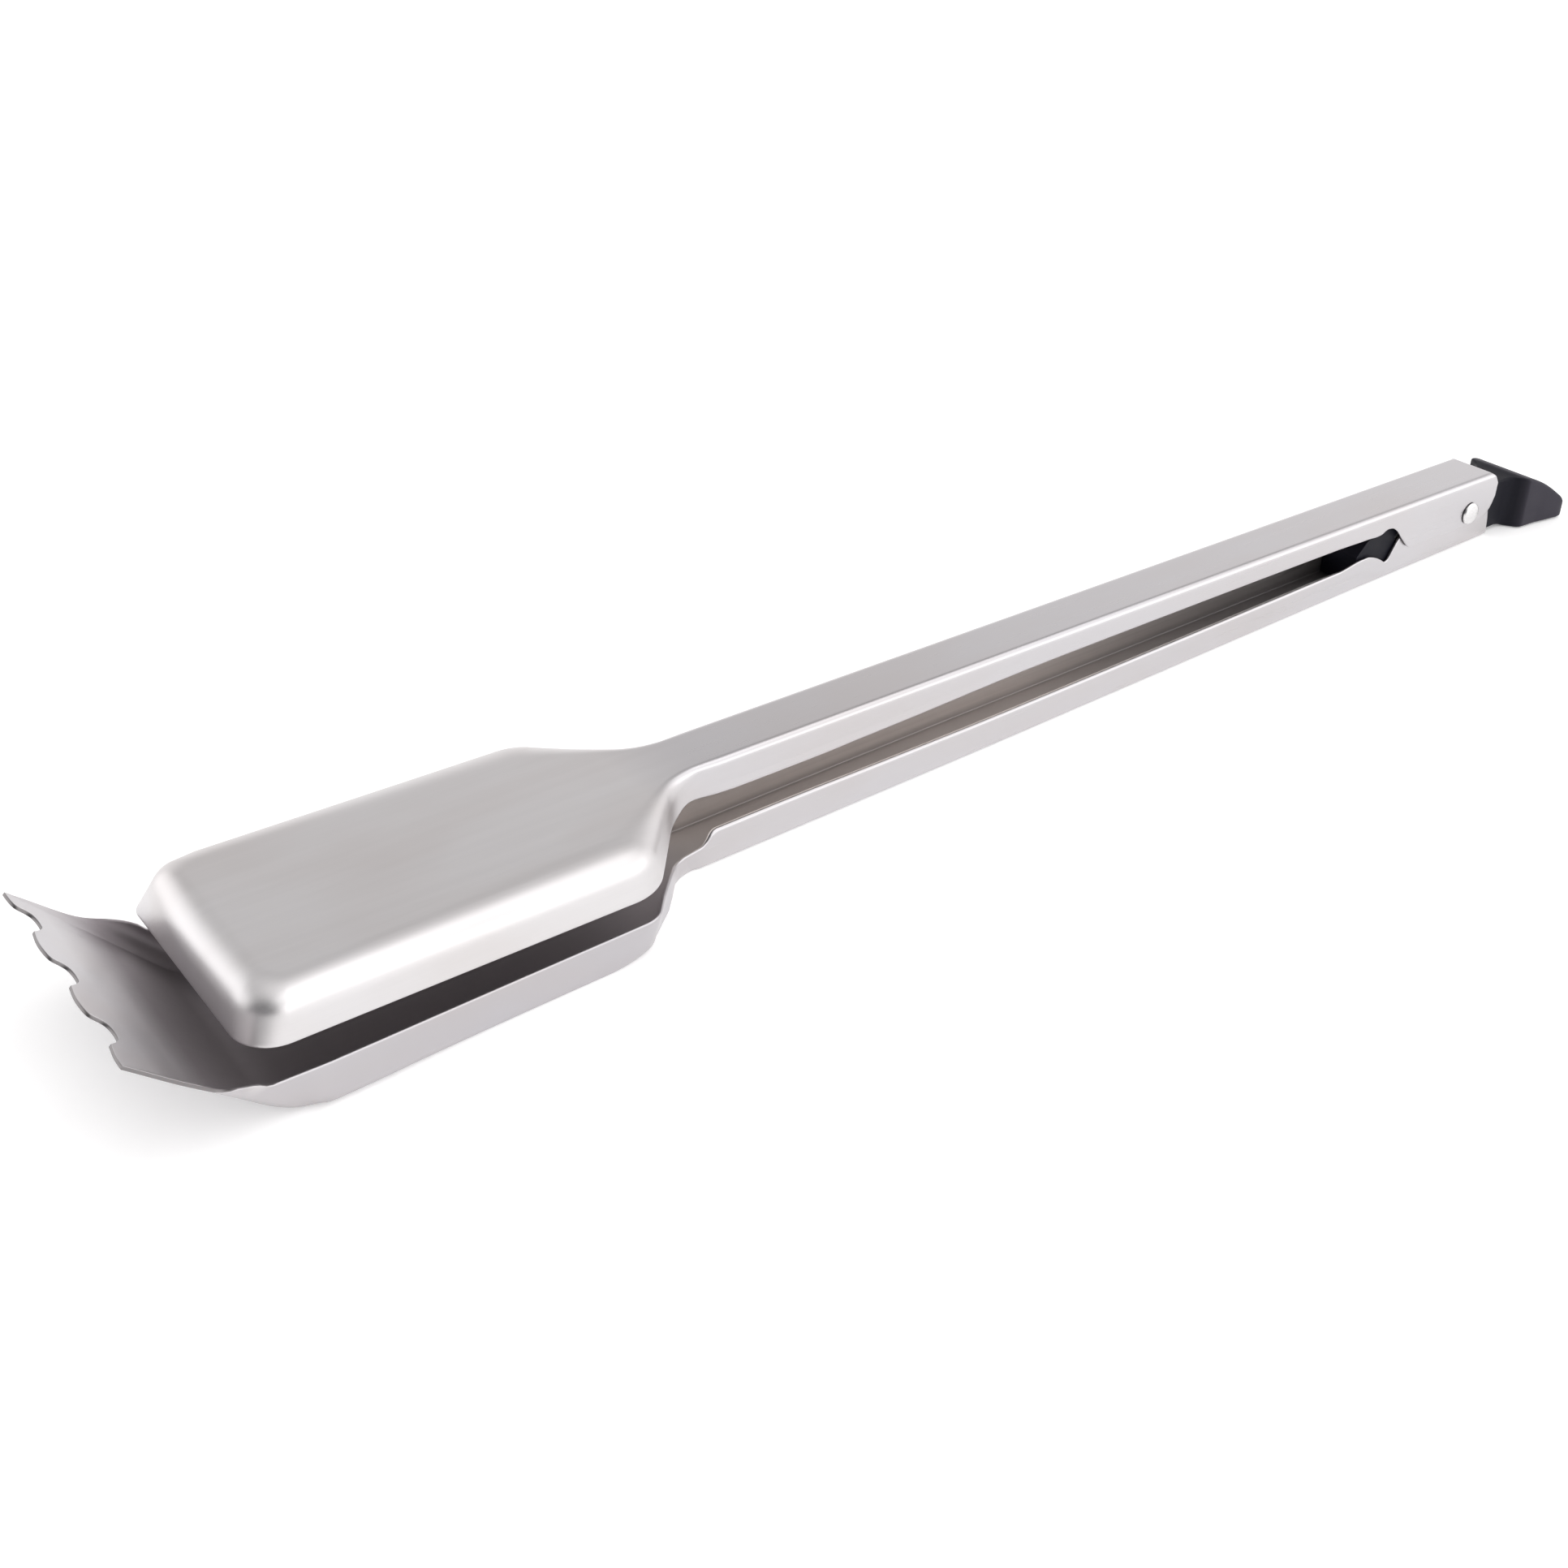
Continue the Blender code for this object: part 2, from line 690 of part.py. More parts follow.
def build():
    clear_scene()
    steel = material("brushed_steel", (0.66, 0.64, 0.65), 0.3, 1.0)
    rivet_steel = material("rivet_steel", (0.78, 0.77, 0.77), 0.2, 1.0)
    spring_steel = material("spring_steel", (0.5, 0.5, 0.52), 0.3, 1.0)
    bush_steel = material("bush_steel", (0.6, 0.6, 0.6), 0.35, 1.0)
    slate_plastic = material("slate_plastic", (0.02, 0.02, 0.025), 0.5, 0.0)

    upper = upper_arm(steel)
    lower = lower_arm(steel)
    hole = pin("ear_hole_cutter", HOLE_RADIUS, 20.0, steel, (0.0, 0.0, HINGE_Z), 24)
    cut(upper, hole)
    cut(lower, hole)
    hinge_rivet(rivet_steel)
    pivot_bush(bush_steel)
    torsion_spring(spring_steel)
    slider = lock_slider(slate_plastic)
    tab = pull_tab(slate_plastic)

    tail = [
        (SLIDER_BACK - 1.0, TAIL_BOTTOM),
        (TAIL_END, TAIL_BOTTOM),
        (TAIL_END, TAIL_TOP),
        (SLIDER_BACK - 1.0, TAIL_TOP),
    ]
    reach = TAIL_HALF_WIDTH
    cut(slider, extruded("slider_tail_guide", tail, -reach, reach, "Y", slate_plastic), "UNION")
    socket = [
        (TAB_FRONT - 1.0, TAIL_BOTTOM - GAP),
        (TAIL_END + GAP, TAIL_BOTTOM - GAP),
        (TAIL_END + GAP, TAIL_TOP + GAP),
        (TAB_FRONT - 1.0, TAIL_TOP + GAP),
    ]
    reach = TAIL_HALF_WIDTH + GAP
    cut(tab, extruded("tab_socket_cutter", socket, -reach, reach, "Y", slate_plastic))

    tab_pin_place = (TAIL_END - 4.0, 0.0, (TAIL_BOTTOM + TAIL_TOP) / 2)
    tab_pin_hole = pin("tab_pin_cutter", PIN_RADIUS + GAP, 20.0, steel, tab_pin_place)
    cut(slider, tab_pin_hole)
    cut(tab, tab_pin_hole)
    pin("tab_pin", PIN_RADIUS, SLIDER_HALF_WIDTH - 0.2, rivet_steel, tab_pin_place)
    pin("lock_pin", PIN_RADIUS, SLIDER_HALF_WIDTH - 0.2, rivet_steel, (LOCK_PIN_X, 0.0, LOCK_PIN_Z))


build()
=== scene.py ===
"""Looks of the long kitchen tongs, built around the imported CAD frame.

Lengths are in millimetres and are turned into metres by MM. The frame is the CAD frame:
the hinge rivet stands over the origin, +X points to the pull tab, -X to the jaws, +Z up.
"""

import math

import bmesh
import bpy
import numpy as np
from mathutils import Euler, Matrix, Vector


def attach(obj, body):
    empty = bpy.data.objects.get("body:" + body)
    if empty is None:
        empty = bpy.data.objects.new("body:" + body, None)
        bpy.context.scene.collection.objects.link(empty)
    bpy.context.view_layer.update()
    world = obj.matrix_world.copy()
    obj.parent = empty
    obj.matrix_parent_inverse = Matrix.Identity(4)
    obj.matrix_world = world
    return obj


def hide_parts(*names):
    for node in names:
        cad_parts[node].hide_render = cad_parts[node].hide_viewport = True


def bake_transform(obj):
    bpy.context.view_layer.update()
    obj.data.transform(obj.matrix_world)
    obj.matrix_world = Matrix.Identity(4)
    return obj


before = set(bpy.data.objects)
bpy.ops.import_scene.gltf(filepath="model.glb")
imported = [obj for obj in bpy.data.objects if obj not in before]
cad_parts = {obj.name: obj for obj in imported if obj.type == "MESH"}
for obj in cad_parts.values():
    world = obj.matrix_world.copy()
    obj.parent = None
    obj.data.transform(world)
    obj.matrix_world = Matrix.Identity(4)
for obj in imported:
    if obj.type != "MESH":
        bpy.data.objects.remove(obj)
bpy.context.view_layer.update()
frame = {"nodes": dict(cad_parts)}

MM = 0.001

# Sheet metal, as in the CAD source
SHEET = 0.8
STACK = 21.7
HINGE_Z = 11.2
REST_ANGLE = 1.152

# Handle channels
UPPER_HALF_WIDTH = 8.1
UPPER_BEND = 1.8
UPPER_WEB_END = 9.1
LOWER_HALF_WIDTH = 8.3
LOWER_EAR_HALF_WIDTH = 7.0
LOWER_BEND = 1.1
TAPER_START = -50.0
TAPER_END = -200.0

# Jaws
JAW_HALF_WIDTH = 30.6
JAW_DEPTH = 10.7
UPPER_JAW_BEND = 7.0
UPPER_JAW_INSET = 11.5
UPPER_TOP_FLARE = 3.5
UPPER_FRONT_BEND = 8.8
UPPER_FRONT_INSET = 9.4
UPPER_SHOULDER_INSET = 5.0
UPPER_NEAR_CORNER = 9.0
UPPER_FAR_CORNER = 5.0
CROWN_TURN = math.radians(80.0)
CROWN_POWER = 1.7
CROWN_SHARE = 0.7
UPPER_FRONT = -401.9
LOWER_JAW_BEND = 2.8
LOWER_JAW_INSET = 2.4
LOWER_SHOULDER_INSET = 5.0
LOWER_SIDE_END = -386.0
LOWER_FLOOR_FRONT = -391.0
LOWER_FLOOR_CORNER = 5.0
SHOULDER_X = -310.0
NECK_X = -291.3
NECK_END = -284.7

# Numbers of mesh points, and the spacing of stations along the handle
CORNER_POINTS = 14
HALF_CORNER = 7
UPPER_ARC_STEPS = 16
UPPER_MID_STEPS = 2
UPPER_FRONT_STEPS = 8
LOWER_ARC_STEPS = 10
LOWER_MID_STEPS = 4
LOWER_SIDE_STEPS = 12
LOWER_CORNER_STEPS = 26
FLOOR_LEAD = 0.5
PLAIN_HANDLE_START = -60.0
PLAIN_HANDLE_END = -270.0
FINE_SPACING = 0.8
COARSE_SPACING = 12.0
AWAY_FROM_RIM = 1000.0
UPPER_HANDLE_END = -279.0
UPPER_NECK_INSET = -0.5
LOWER_NECK_INSET = -0.5

# Scoop tongue
TONGUE_TIP_X = -424.5
TONGUE_TIP_Z = 29.8
TONGUE_FAR_Y = 33.4
TONGUE_NEAR_Y = -31.6
TONGUE_BEND = 13.0
CUSP_FLARE = 0.9
TOOTH_PITCH = 20.8
TOOTH_START_Y = -2.8
TOOTH_DEPTH = 4.35

# Folded hems along the handle edges
HEM_THICKNESS = 1.7
HEM_HEIGHT = 2.4
HEM_FADE = 0.3
HEM_BULGE = 0.3
EDGE_ROUND = 0.38
STAMPED_EDGE_X = -405.0
STAMPED_ROUND = 0.1
PLAIN_EDGE_LEFT = 0.06
HEM_EDGE_LEFT = 0.12
BULGE_LOW = 0.3
BULGE_HIGH = 1.3
STAMPED_REACH = 0.05
RIM_OFFSETS = (2.7, 2.4, 1.2, 0.85, 0.42, 0.2, 0.06, 0.0)

# Side wall depth of the upper arm below its top: (x, depth)
UPPER_FLANGE = (
    (SHOULDER_X, JAW_DEPTH),
    (-305.0, JAW_DEPTH),
    (-297.0, 10.3),
    (-292.0, 9.4),
    (-289.6, 8.4),
    (-287.4, 7.9),
    (-284.7, 8.2),
    (-281.5, 8.8),
    (-276.0, 8.95),
    (-262.0, 8.95),
    (-228.0, 8.4),
    (-174.0, 6.9),
    (-62.0, 6.5),
    (-51.0, 6.8),
    (-45.2, 6.8),
    (-43.2, 6.7),
    (-40.9, 5.75),
    (-40.2, 5.6),
    (-38.6, 5.75),
    (-37.6, 6.0),
    (-35.5, 7.3),
    (-32.9, 9.9),
    (-29.7, 13.1),
    (-28.2, 14.4),
    (-27.2, 14.7),
    (3.5, 14.75),
    (6.0, 14.4),
    (8.5, 13.4),
    (10.3, 11.6),
    (11.2, 9.8),
    (11.8, 8.0),
)

# Side wall height of the lower arm above the underside: (x, height)
LOWER_FLANGE = (
    (SHOULDER_X, JAW_DEPTH),
    (-306.0, 10.5),
    (-298.0, 7.6),
    (-291.0, 4.8),
    (-287.4, 5.3),
    (-284.0, 5.9),
    (-282.4, 7.1),
    (-281.2, 8.5),
    (-279.6, 9.2),
    (-262.0, 9.2),
    (-228.0, 8.7),
    (-173.0, 8.2),
    (-59.0, 8.0),
    (-48.1, 9.1),
    (-45.8, 9.1),
    (-44.3, 8.8),
    (-41.4, 7.7),
    (-39.2, 6.5),
    (-37.2, 5.3),
    (-36.5, 5.3),
    (-34.7, 7.8),
    (-32.8, 10.5),
    (-31.2, 12.2),
    (-26.0, 18.0),
    (-24.0, 19.1),
    (-22.0, 19.6),
    (0.8, 19.6),
    (3.3, 19.1),
    (6.1, 17.3),
    (9.0, 13.2),
    (11.2, 9.6),
    (12.2, 6.2),
    (12.6, 3.0),
)

# How much of the hem, or of its rounded bulge, there is along the arms: (x, share)
UPPER_HEM = ((-287.0, 0.0), (-281.5, 1.0), (-49.0, 1.0), (-45.5, 0.0))
UPPER_HEM_BULGE = ((-283.0, 0.0), (-276.0, 1.0), (-240.0, 1.0), (-165.0, 0.0))
LOWER_HEM = ((-283.5, 0.0), (-280.6, 1.0), (-61.0, 1.0), (-57.5, 0.0))

# How far the top of the upper ears drops behind the end of the web: (x, drop)
EAR_LIP = ((UPPER_WEB_END, 0.0), (10.3, 0.9), (11.0, 1.9), (11.8, 3.2))

# One tooth of the scalloped edge: (share of the pitch from its tip, share of the tooth depth)
TOOTH = (
    (0.0, 0.23),
    (0.08, 0.15),
    (0.18, 0.05),
    (0.3, 0.0),
    (0.42, 0.04),
    (0.5, 0.16),
    (0.53, 0.36),
    (0.55, 0.62),
    (0.59, 0.86),
    (0.65, 0.96),
    (0.72, 1.0),
    (0.81, 0.98),
    (0.87, 0.86),
    (0.93, 0.62),
    (1.0, 0.23),
)


def smooth_reader(keys):
    """A curve through (position, value) keys that never swings past them."""
    xs = np.array([key[0] for key in keys])
    ys = np.array([key[1] for key in keys])
    steps = np.diff(xs)
    slopes = np.diff(ys) / steps
    tangents = np.zeros(len(xs))
    for index in range(1, len(xs) - 1):
        before, after = slopes[index - 1], slopes[index]
        if before * after > 0:
            weight_a = 2 * steps[index] + steps[index - 1]
            weight_b = steps[index] + 2 * steps[index - 1]
            tangents[index] = (weight_a + weight_b) / (weight_a / before + weight_b / after)
    tangents[0], tangents[-1] = slopes[0], slopes[-1]

    def read(position):
        spot = min(max(position, xs[0]), xs[-1])
        index = min(int(np.searchsorted(xs, spot, "right")) - 1, len(xs) - 2)
        step = steps[index]
        share = (spot - xs[index]) / step
        rise = share * share * (3 - 2 * share)
        value = ys[index] + (ys[index + 1] - ys[index]) * rise
        value += tangents[index] * step * share * (1 - share) ** 2
        value -= tangents[index + 1] * step * share * share * (1 - share)
        return float(value)

    return read


def straight_reader(keys):
    xs = [key[0] for key in keys]
    ys = [key[1] for key in keys]
    return lambda position: float(np.interp(position, xs, ys))


def fillet(before, corner, after, radius, count):
    """Points of the arc that rounds a corner of a plan outline, from tangent to tangent."""
    corner = Vector(corner)
    back = (Vector(before) - corner).normalized()
    ahead = (Vector(after) - corner).normalized()
    half = back.angle(ahead) / 2
    centre = corner + (back + ahead).normalized() * (radius / math.sin(half))
    start = corner + back * (radius / math.tan(half)) - centre
    end = corner + ahead * (radius / math.tan(half)) - centre
    turn = start.angle_signed(end)
    points = []
    for step in range(count):
        angle = turn * step / (count - 1)
        points.append(centre + Matrix.Rotation(-angle, 2) @ start)
    return points


def stretch(first, last, count):
    """Evenly spaced plan points strictly between two plan points."""
    first, last = Vector(first), Vector(last)
    return [first.lerp(last, step / count) for step in range(1, count)]


def rounded_outline(corners, radii, arc_points, straight_parts):
    """A plan outline round its corners, with evenly spaced points on the straights between."""
    arcs = []
    for index in range(1, len(corners) - 1):
        arcs.append(fillet(*corners[index - 1 : index + 2], radii[index - 1], arc_points))
    points = list(arcs[0])
    for before, arc, parts in zip(arcs, arcs[1:], straight_parts):
        points += stretch(before[-1], arc[0], parts) + arc
    return points


def crowned_bend(run, height, steps):
    """Places (outwards, upwards) on a bend that starts almost flat and tightens to the wall.

    The whole curve with its straight wall spans run and height; only its bent share is returned.
    """
    fine = 200
    shares = (np.arange(fine) + 0.5) / fine
    angles = CROWN_TURN * np.minimum(1.0, shares / CROWN_SHARE) ** CROWN_POWER
    outwards = np.concatenate([[0.0], np.cumsum(np.cos(angles))])
    upwards = np.concatenate([[0.0], np.cumsum(np.sin(angles))])
    wanted = np.linspace(0.0, CROWN_SHARE, steps + 1) * fine
    out = np.interp(wanted, np.arange(fine + 1), outwards) * run / outwards[-1]
    up = np.interp(wanted, np.arange(fine + 1), upwards) * height / upwards[-1]
    return list(zip(out.tolist(), up.tolist()))


def wall_profile(base, rim, height, bend, arc_steps, mid_steps, crown=0.0):
    """A wall that leaves a flat floor, bends up and runs straight to the rim.

    The bend is an arc, or a crowned bend where crown is 1, or a mix of both.
    Returns the points, starting just inside the floor, and each point's distance from the rim.
    """
    base, rim = Vector(base), Vector(rim)
    run = rim - base
    length = run.length
    outward = run.normalized()
    bend = min(bend, length, 0.8 * height)
    reach = math.hypot(length, height - bend)
    slope = math.atan2(height - bend, length) + math.asin(min(1.0, bend / reach))
    spot = base - outward * FLOOR_LEAD
    points = [Vector((spot.x, spot.y, 0.0))]
    crowned = crowned_bend(length, height, arc_steps)
    for step, (crown_out, crown_up) in enumerate(crowned):
        angle = slope * step / arc_steps
        out = bend * math.sin(angle) * (1 - crown) + crown_out * crown
        up = bend * (1 - math.cos(angle)) * (1 - crown) + crown_up * crown
        spot = base + outward * out
        points.append(Vector((spot.x, spot.y, up)))
    start = points[-1]
    end = Vector((rim.x, rim.y, height))
    total = (end - start).length
    scale = min(1.0, 0.85 * total / RIM_OFFSETS[0])
    left = total - RIM_OFFSETS[0] * scale
    distances = [AWAY_FROM_RIM] * (arc_steps + 2)
    for step in range(1, mid_steps + 1):
        distance = total - left * step / (mid_steps + 1)
        distances.append(distance)
        points.append(end.lerp(start, distance / total))
    for offset in RIM_OFFSETS:
        distances.append(offset * scale)
        points.append(end.lerp(start, offset * scale / total))
    return points, distances


def rounded_edge(distance, radius, limit):
    """How far a round edge of that radius has drawn in at a distance from its apex."""
    if distance >= radius:
        return 0.0
    return min(limit, radius - math.sqrt(radius * radius - (radius - distance) ** 2))


def shape_rim(distance, hem, bulge, edge_round):
    """Outer and inner face of the sheet, measured inwards, at a distance from its edge."""
    plain = rounded_edge(distance, edge_round, SHEET / 2 - PLAIN_EDGE_LEFT)
    full = rounded_edge(distance, HEM_THICKNESS / 2, HEM_THICKNESS / 2 - HEM_EDGE_LEFT)
    folded = HEM_THICKNESS - full
    if distance > HEM_HEIGHT:
        share = min(1.0, (distance - HEM_HEIGHT) / HEM_FADE)
        folded = HEM_THICKNESS + (SHEET - HEM_THICKNESS) * share
    outer = plain + (full - plain) * hem
    if BULGE_LOW < distance <= BULGE_HIGH:
        outer -= HEM_BULGE * bulge
    inner = SHEET - plain
    return outer, inner + (folded - inner) * hem


def smooth_by_angle(mesh, degrees):
    mesh.shade_smooth()
    mesh.set_sharp_from_angle(angle=math.radians(degrees))


def link(name, mesh, finish):
    mesh.materials.clear()
    mesh.materials.append(finish)
    result = bpy.data.objects.new(name, mesh)
    bpy.context.scene.collection.objects.link(result)
    return result


def skin_mesh(stations, floor_from, front_from):
    """The outer skin: wall strips round the tray and the floor between its two sides."""
    size = len(stations[0])
    vertices = [point for station in stations for point in station]
    faces = []
    for row in range(len(stations) - 1):
        for column in range(size - 1):
            first = row * size + column
            faces.append((first, first + 1, first + size + 1, first + size))
    last = len(stations) - 1
    for row in range(floor_from, front_from - 1):
        faces.append((row * size, (row + 1) * size, (last - row - 1) * size, (last - row) * size))
    faces.append(tuple(row * size for row in range(front_from - 1, last - front_from + 2)))
    mesh = bpy.data.meshes.new("skin")
    mesh.from_pydata(vertices, [], faces)
    mesh.update()
    return mesh


def turn_outwards(mesh, up):
    shape = bmesh.new()
    shape.from_mesh(mesh)
    bmesh.ops.recalc_face_normals(shape, faces=shape.faces)
    shape.to_mesh(mesh)
    shape.free()
    if sum(face.normal.z * face.area for face in mesh.polygons) * up > 0:
        mesh.flip_normals()


def evaluated_mesh(item, name):
    """The item's mesh with its modifiers applied; the item itself is removed."""
    bpy.context.view_layer.update()
    graph = bpy.context.evaluated_depsgraph_get()
    mesh = bpy.data.meshes.new_from_object(item.evaluated_get(graph))
    mesh.name = name
    bpy.data.objects.remove(item, do_unlink=True)
    return mesh


def sheet_from_walls(name, near, far, floor_from, front_from, up, hem_at, bulge_at, finish):
    """A pressed sheet of metal from its wall profiles, with rounded edges and folded hems."""
    walls = near + far[::-1]
    stations = [points for points, _ in walls]
    size = len(stations[0])
    skin = skin_mesh(stations, floor_from, front_from)
    turn_outwards(skin, up)
    count = len(skin.vertices)
    carrier = link("sheet_carrier", skin, finish)
    solid = carrier.modifiers.new("sheet", "SOLIDIFY")
    solid.thickness = SHEET
    solid.offset = -1.0
    solid.use_even_offset = True
    mesh = evaluated_mesh(carrier, name)
    places = np.zeros(len(mesh.vertices) * 3)
    mesh.vertices.foreach_get("co", places)
    places = places.reshape(-1, 3)
    inside = np.zeros(len(mesh.vertices))
    inside[count:] = 1.0
    # Marks for a painted shade line: the stamped teeth's cut edges, and the raw edge of each hem
    # inside.
    painted_edge_shade = np.zeros(len(mesh.vertices))
    for row, (points, distances) in enumerate(walls):
        x = points[-1].x
        hem, bulge = hem_at(x), bulge_at(x)
        stamped = x < STAMPED_EDGE_X
        edge_round = STAMPED_ROUND if stamped else EDGE_ROUND
        for column in range(size):
            if distances[column] > HEM_HEIGHT + HEM_FADE:
                continue
            index = row * size + column
            if stamped and distances[column] < STAMPED_REACH:
                painted_edge_shade[[index, count + index]] = 1.0
            if hem > 0.0 and distances[column] > HEM_HEIGHT:
                painted_edge_shade[count + index] = hem
            outer, inner = shape_rim(distances[column], hem, bulge, edge_round)
            skin_place = places[index].copy()
            inwards = (places[count + index] - skin_place) / SHEET
            places[index] = skin_place + inwards * outer
            places[count + index] = skin_place + inwards * inner
    mesh.vertices.foreach_set("co", (places * MM).ravel())
    for label, values in (("inside", inside), ("painted_edge_shade", painted_edge_shade)):
        mesh.attributes.new(label, "FLOAT", "POINT").data.foreach_set("value", values)
    mesh.update()
    smooth_by_angle(mesh, 50.0)
    return link(name, mesh, finish)


def handle_stations(first_x, last_x, marks, spacing):
    """Stations along a handle: every marked place and evenly spaced ones between."""
    kept = sorted({first_x, last_x, *(x for x in marks if last_x < x < first_x)}, reverse=True)
    places = [kept[0]]
    for left, right in zip(kept, kept[1:]):
        parts = max(1, math.ceil((left - right) / spacing(right)))
        places += [left + (right - left) * part / parts for part in range(1, parts + 1)]
    return places


def fine_near_curves(x):
    """Spacing of stations: fine where an edge turns, coarse along the plain handle."""
    if x > PLAIN_HANDLE_START or x < PLAIN_HANDLE_END:
        return FINE_SPACING
    return COARSE_SPACING


def hinge_marks(flange):
    return [x for x, _ in flange if x > NECK_END]


def upper_arm(finish):
    """The upper channel and pressing jaw, open downwards."""
    depth_at = smooth_reader(UPPER_FLANGE)
    lip_at = smooth_reader(EAR_LIP)
    marks = hinge_marks(UPPER_FLANGE) + [x for x, _ in EAR_LIP]
    handle_x = handle_stations(UPPER_FLANGE[-1][0], UPPER_HANDLE_END, marks, fine_near_curves)
    jaw_top_side = JAW_HALF_WIDTH - UPPER_JAW_INSET
    jaw_top_front = UPPER_FRONT + UPPER_FRONT_INSET
    top_edge = UPPER_HALF_WIDTH - UPPER_BEND
    bend_at = straight_reader(
        (
            (UPPER_FRONT, UPPER_FRONT_BEND),
            (UPPER_FRONT + 8.0, UPPER_JAW_BEND),
            (NECK_END - 20.0, UPPER_JAW_BEND),
            (NECK_END - 1.0, UPPER_BEND),
        )
    )
    straight_parts = (4, 12)
    crown_at = straight_reader(
        ((UPPER_FRONT, 0.0), (UPPER_FRONT + 9.0, 1.0), (SHOULDER_X + 6.0, 1.0), (NECK_END, 0.0))
    )
    walls = {}
    for side, corner_radius in ((-1, UPPER_NEAR_CORNER), (1, UPPER_FAR_CORNER)):
        rim = rounded_outline(
            [
                (UPPER_HANDLE_END, UPPER_HALF_WIDTH),
                (NECK_X, UPPER_HALF_WIDTH),
                (SHOULDER_X, JAW_HALF_WIDTH),
                (UPPER_FRONT, JAW_HALF_WIDTH),
                (UPPER_FRONT, 0.0),
            ],
            (16.0, 13.0, corner_radius),
            CORNER_POINTS,
            straight_parts,
        )
        base = rounded_outline(
            [
                (UPPER_HANDLE_END, top_edge),
                (NECK_X - UPPER_NECK_INSET, top_edge),
                (SHOULDER_X - UPPER_SHOULDER_INSET, jaw_top_side),
                (jaw_top_front, jaw_top_side + UPPER_TOP_FLARE),
                (jaw_top_front, 0.0),
            ],
            (24.0, 7.0, 3.5),
            CORNER_POINTS,
            straight_parts,
        )
        plan = [((x, UPPER_HALF_WIDTH), (x, top_edge)) for x in handle_x]
        plan += [(tuple(edge), tuple(foot)) for edge, foot in zip(rim, base)]
        for step in range(1, UPPER_FRONT_STEPS + (side > 0)):
            left = 1 - step / UPPER_FRONT_STEPS
            plan.append(((UPPER_FRONT, rim[-1].y * left), (jaw_top_front, base[-1].y * left)))
        walls[side] = []
        for (x, y), (base_x, base_y) in plan:
            lip = lip_at(x) if x > UPPER_WEB_END else 0.0
            if lip > 0.0:
                base_y = UPPER_HALF_WIDTH - max(0.25, 0.5 * (UPPER_BEND - lip))
            height = depth_at(x) - lip
            foot, edge = (base_x, side * base_y), (x, side * y)
            bend, crown = bend_at(x), crown_at(x)
            points, distances = wall_profile(
                foot, edge, height, bend, UPPER_ARC_STEPS, UPPER_MID_STEPS, crown
            )
            points = [Vector((p.x, p.y, STACK - lip - p.z)) for p in points]
            walls[side].append((points, distances))
        front_from = len(handle_x) + len(rim) - HALF_CORNER
    floor_from = next(index for index, x in enumerate(handle_x) if x <= UPPER_WEB_END)
    arm = sheet_from_walls(
        "upper_arm_sheet",
        walls[-1],
        walls[1],
        floor_from,
        front_from,
        -1,
        straight_reader(UPPER_HEM),
        straight_reader(UPPER_HEM_BULGE),
        finish,
    )
    pivot = Vector((0.0, 0.0, HINGE_Z)) * MM
    turn = Matrix.Rotation(math.radians(REST_ANGLE), 4, "Y")
    arm.data.transform(Matrix.Translation(pivot) @ turn @ Matrix.Translation(-pivot))
    return arm


TOOTH_AT = smooth_reader(TOOTH)


def tongue_edge(y):
    """A point of the scalloped edge; the bites run down the 45 degree slope."""
    share = ((TOOTH_START_Y - y) / TOOTH_PITCH) % 1.0
    back = TOOTH_DEPTH * TOOTH_AT(share) * math.sqrt(0.5)
    return Vector((TONGUE_TIP_X + back, y, TONGUE_TIP_Z - back))


def tooth_places():
    """Places across the tongue, from far to near, dense where the scalloped edge turns."""
    shares = [share for share, _ in TOOTH[:-1]]
    shares += [(low + high) / 2 for low, high in zip(shares, shares[1:])] + [0.965, 0.99]
    inside = 0.5
    places = []
    for tooth in range(-2, 3):
        places += [TOOTH_START_Y - (tooth + share) * TOOTH_PITCH for share in shares]
    return [y for y in places if TONGUE_NEAR_Y + inside < y < TONGUE_FAR_Y - inside]


def jaw_corner(tip, flare, steps):
    """The lower jaw's rim, from the end of its straight side over the cusp to the tongue's tip.

    flare moves the cusp outwards and up: the far side was pressed a little wider.
    """
    keys = (
        (0.0, (LOWER_SIDE_END, JAW_HALF_WIDTH, JAW_DEPTH)),
        (0.27, (-398.0, 30.4 + 0.3 * flare, 10.9)),
        (0.36, (-401.2, 30.9 + 0.7 * flare, 13.0 + 0.7 * flare)),
        (0.45, (-404.4, 31.6 + flare, 14.4 + flare)),
        (0.55, (-408.7, 32.2 + flare, 16.1 + flare)),
        (0.64, (-412.0, 32.2 + flare, 18.7)),
        (1.0, tuple(tip)),
    )
    readers = [smooth_reader([(share, place[axis]) for share, place in keys]) for axis in range(3)]
    shares = [step / steps for step in range(steps + 1)]
    return [(share, Vector([read(share) for read in readers])) for share in shares]


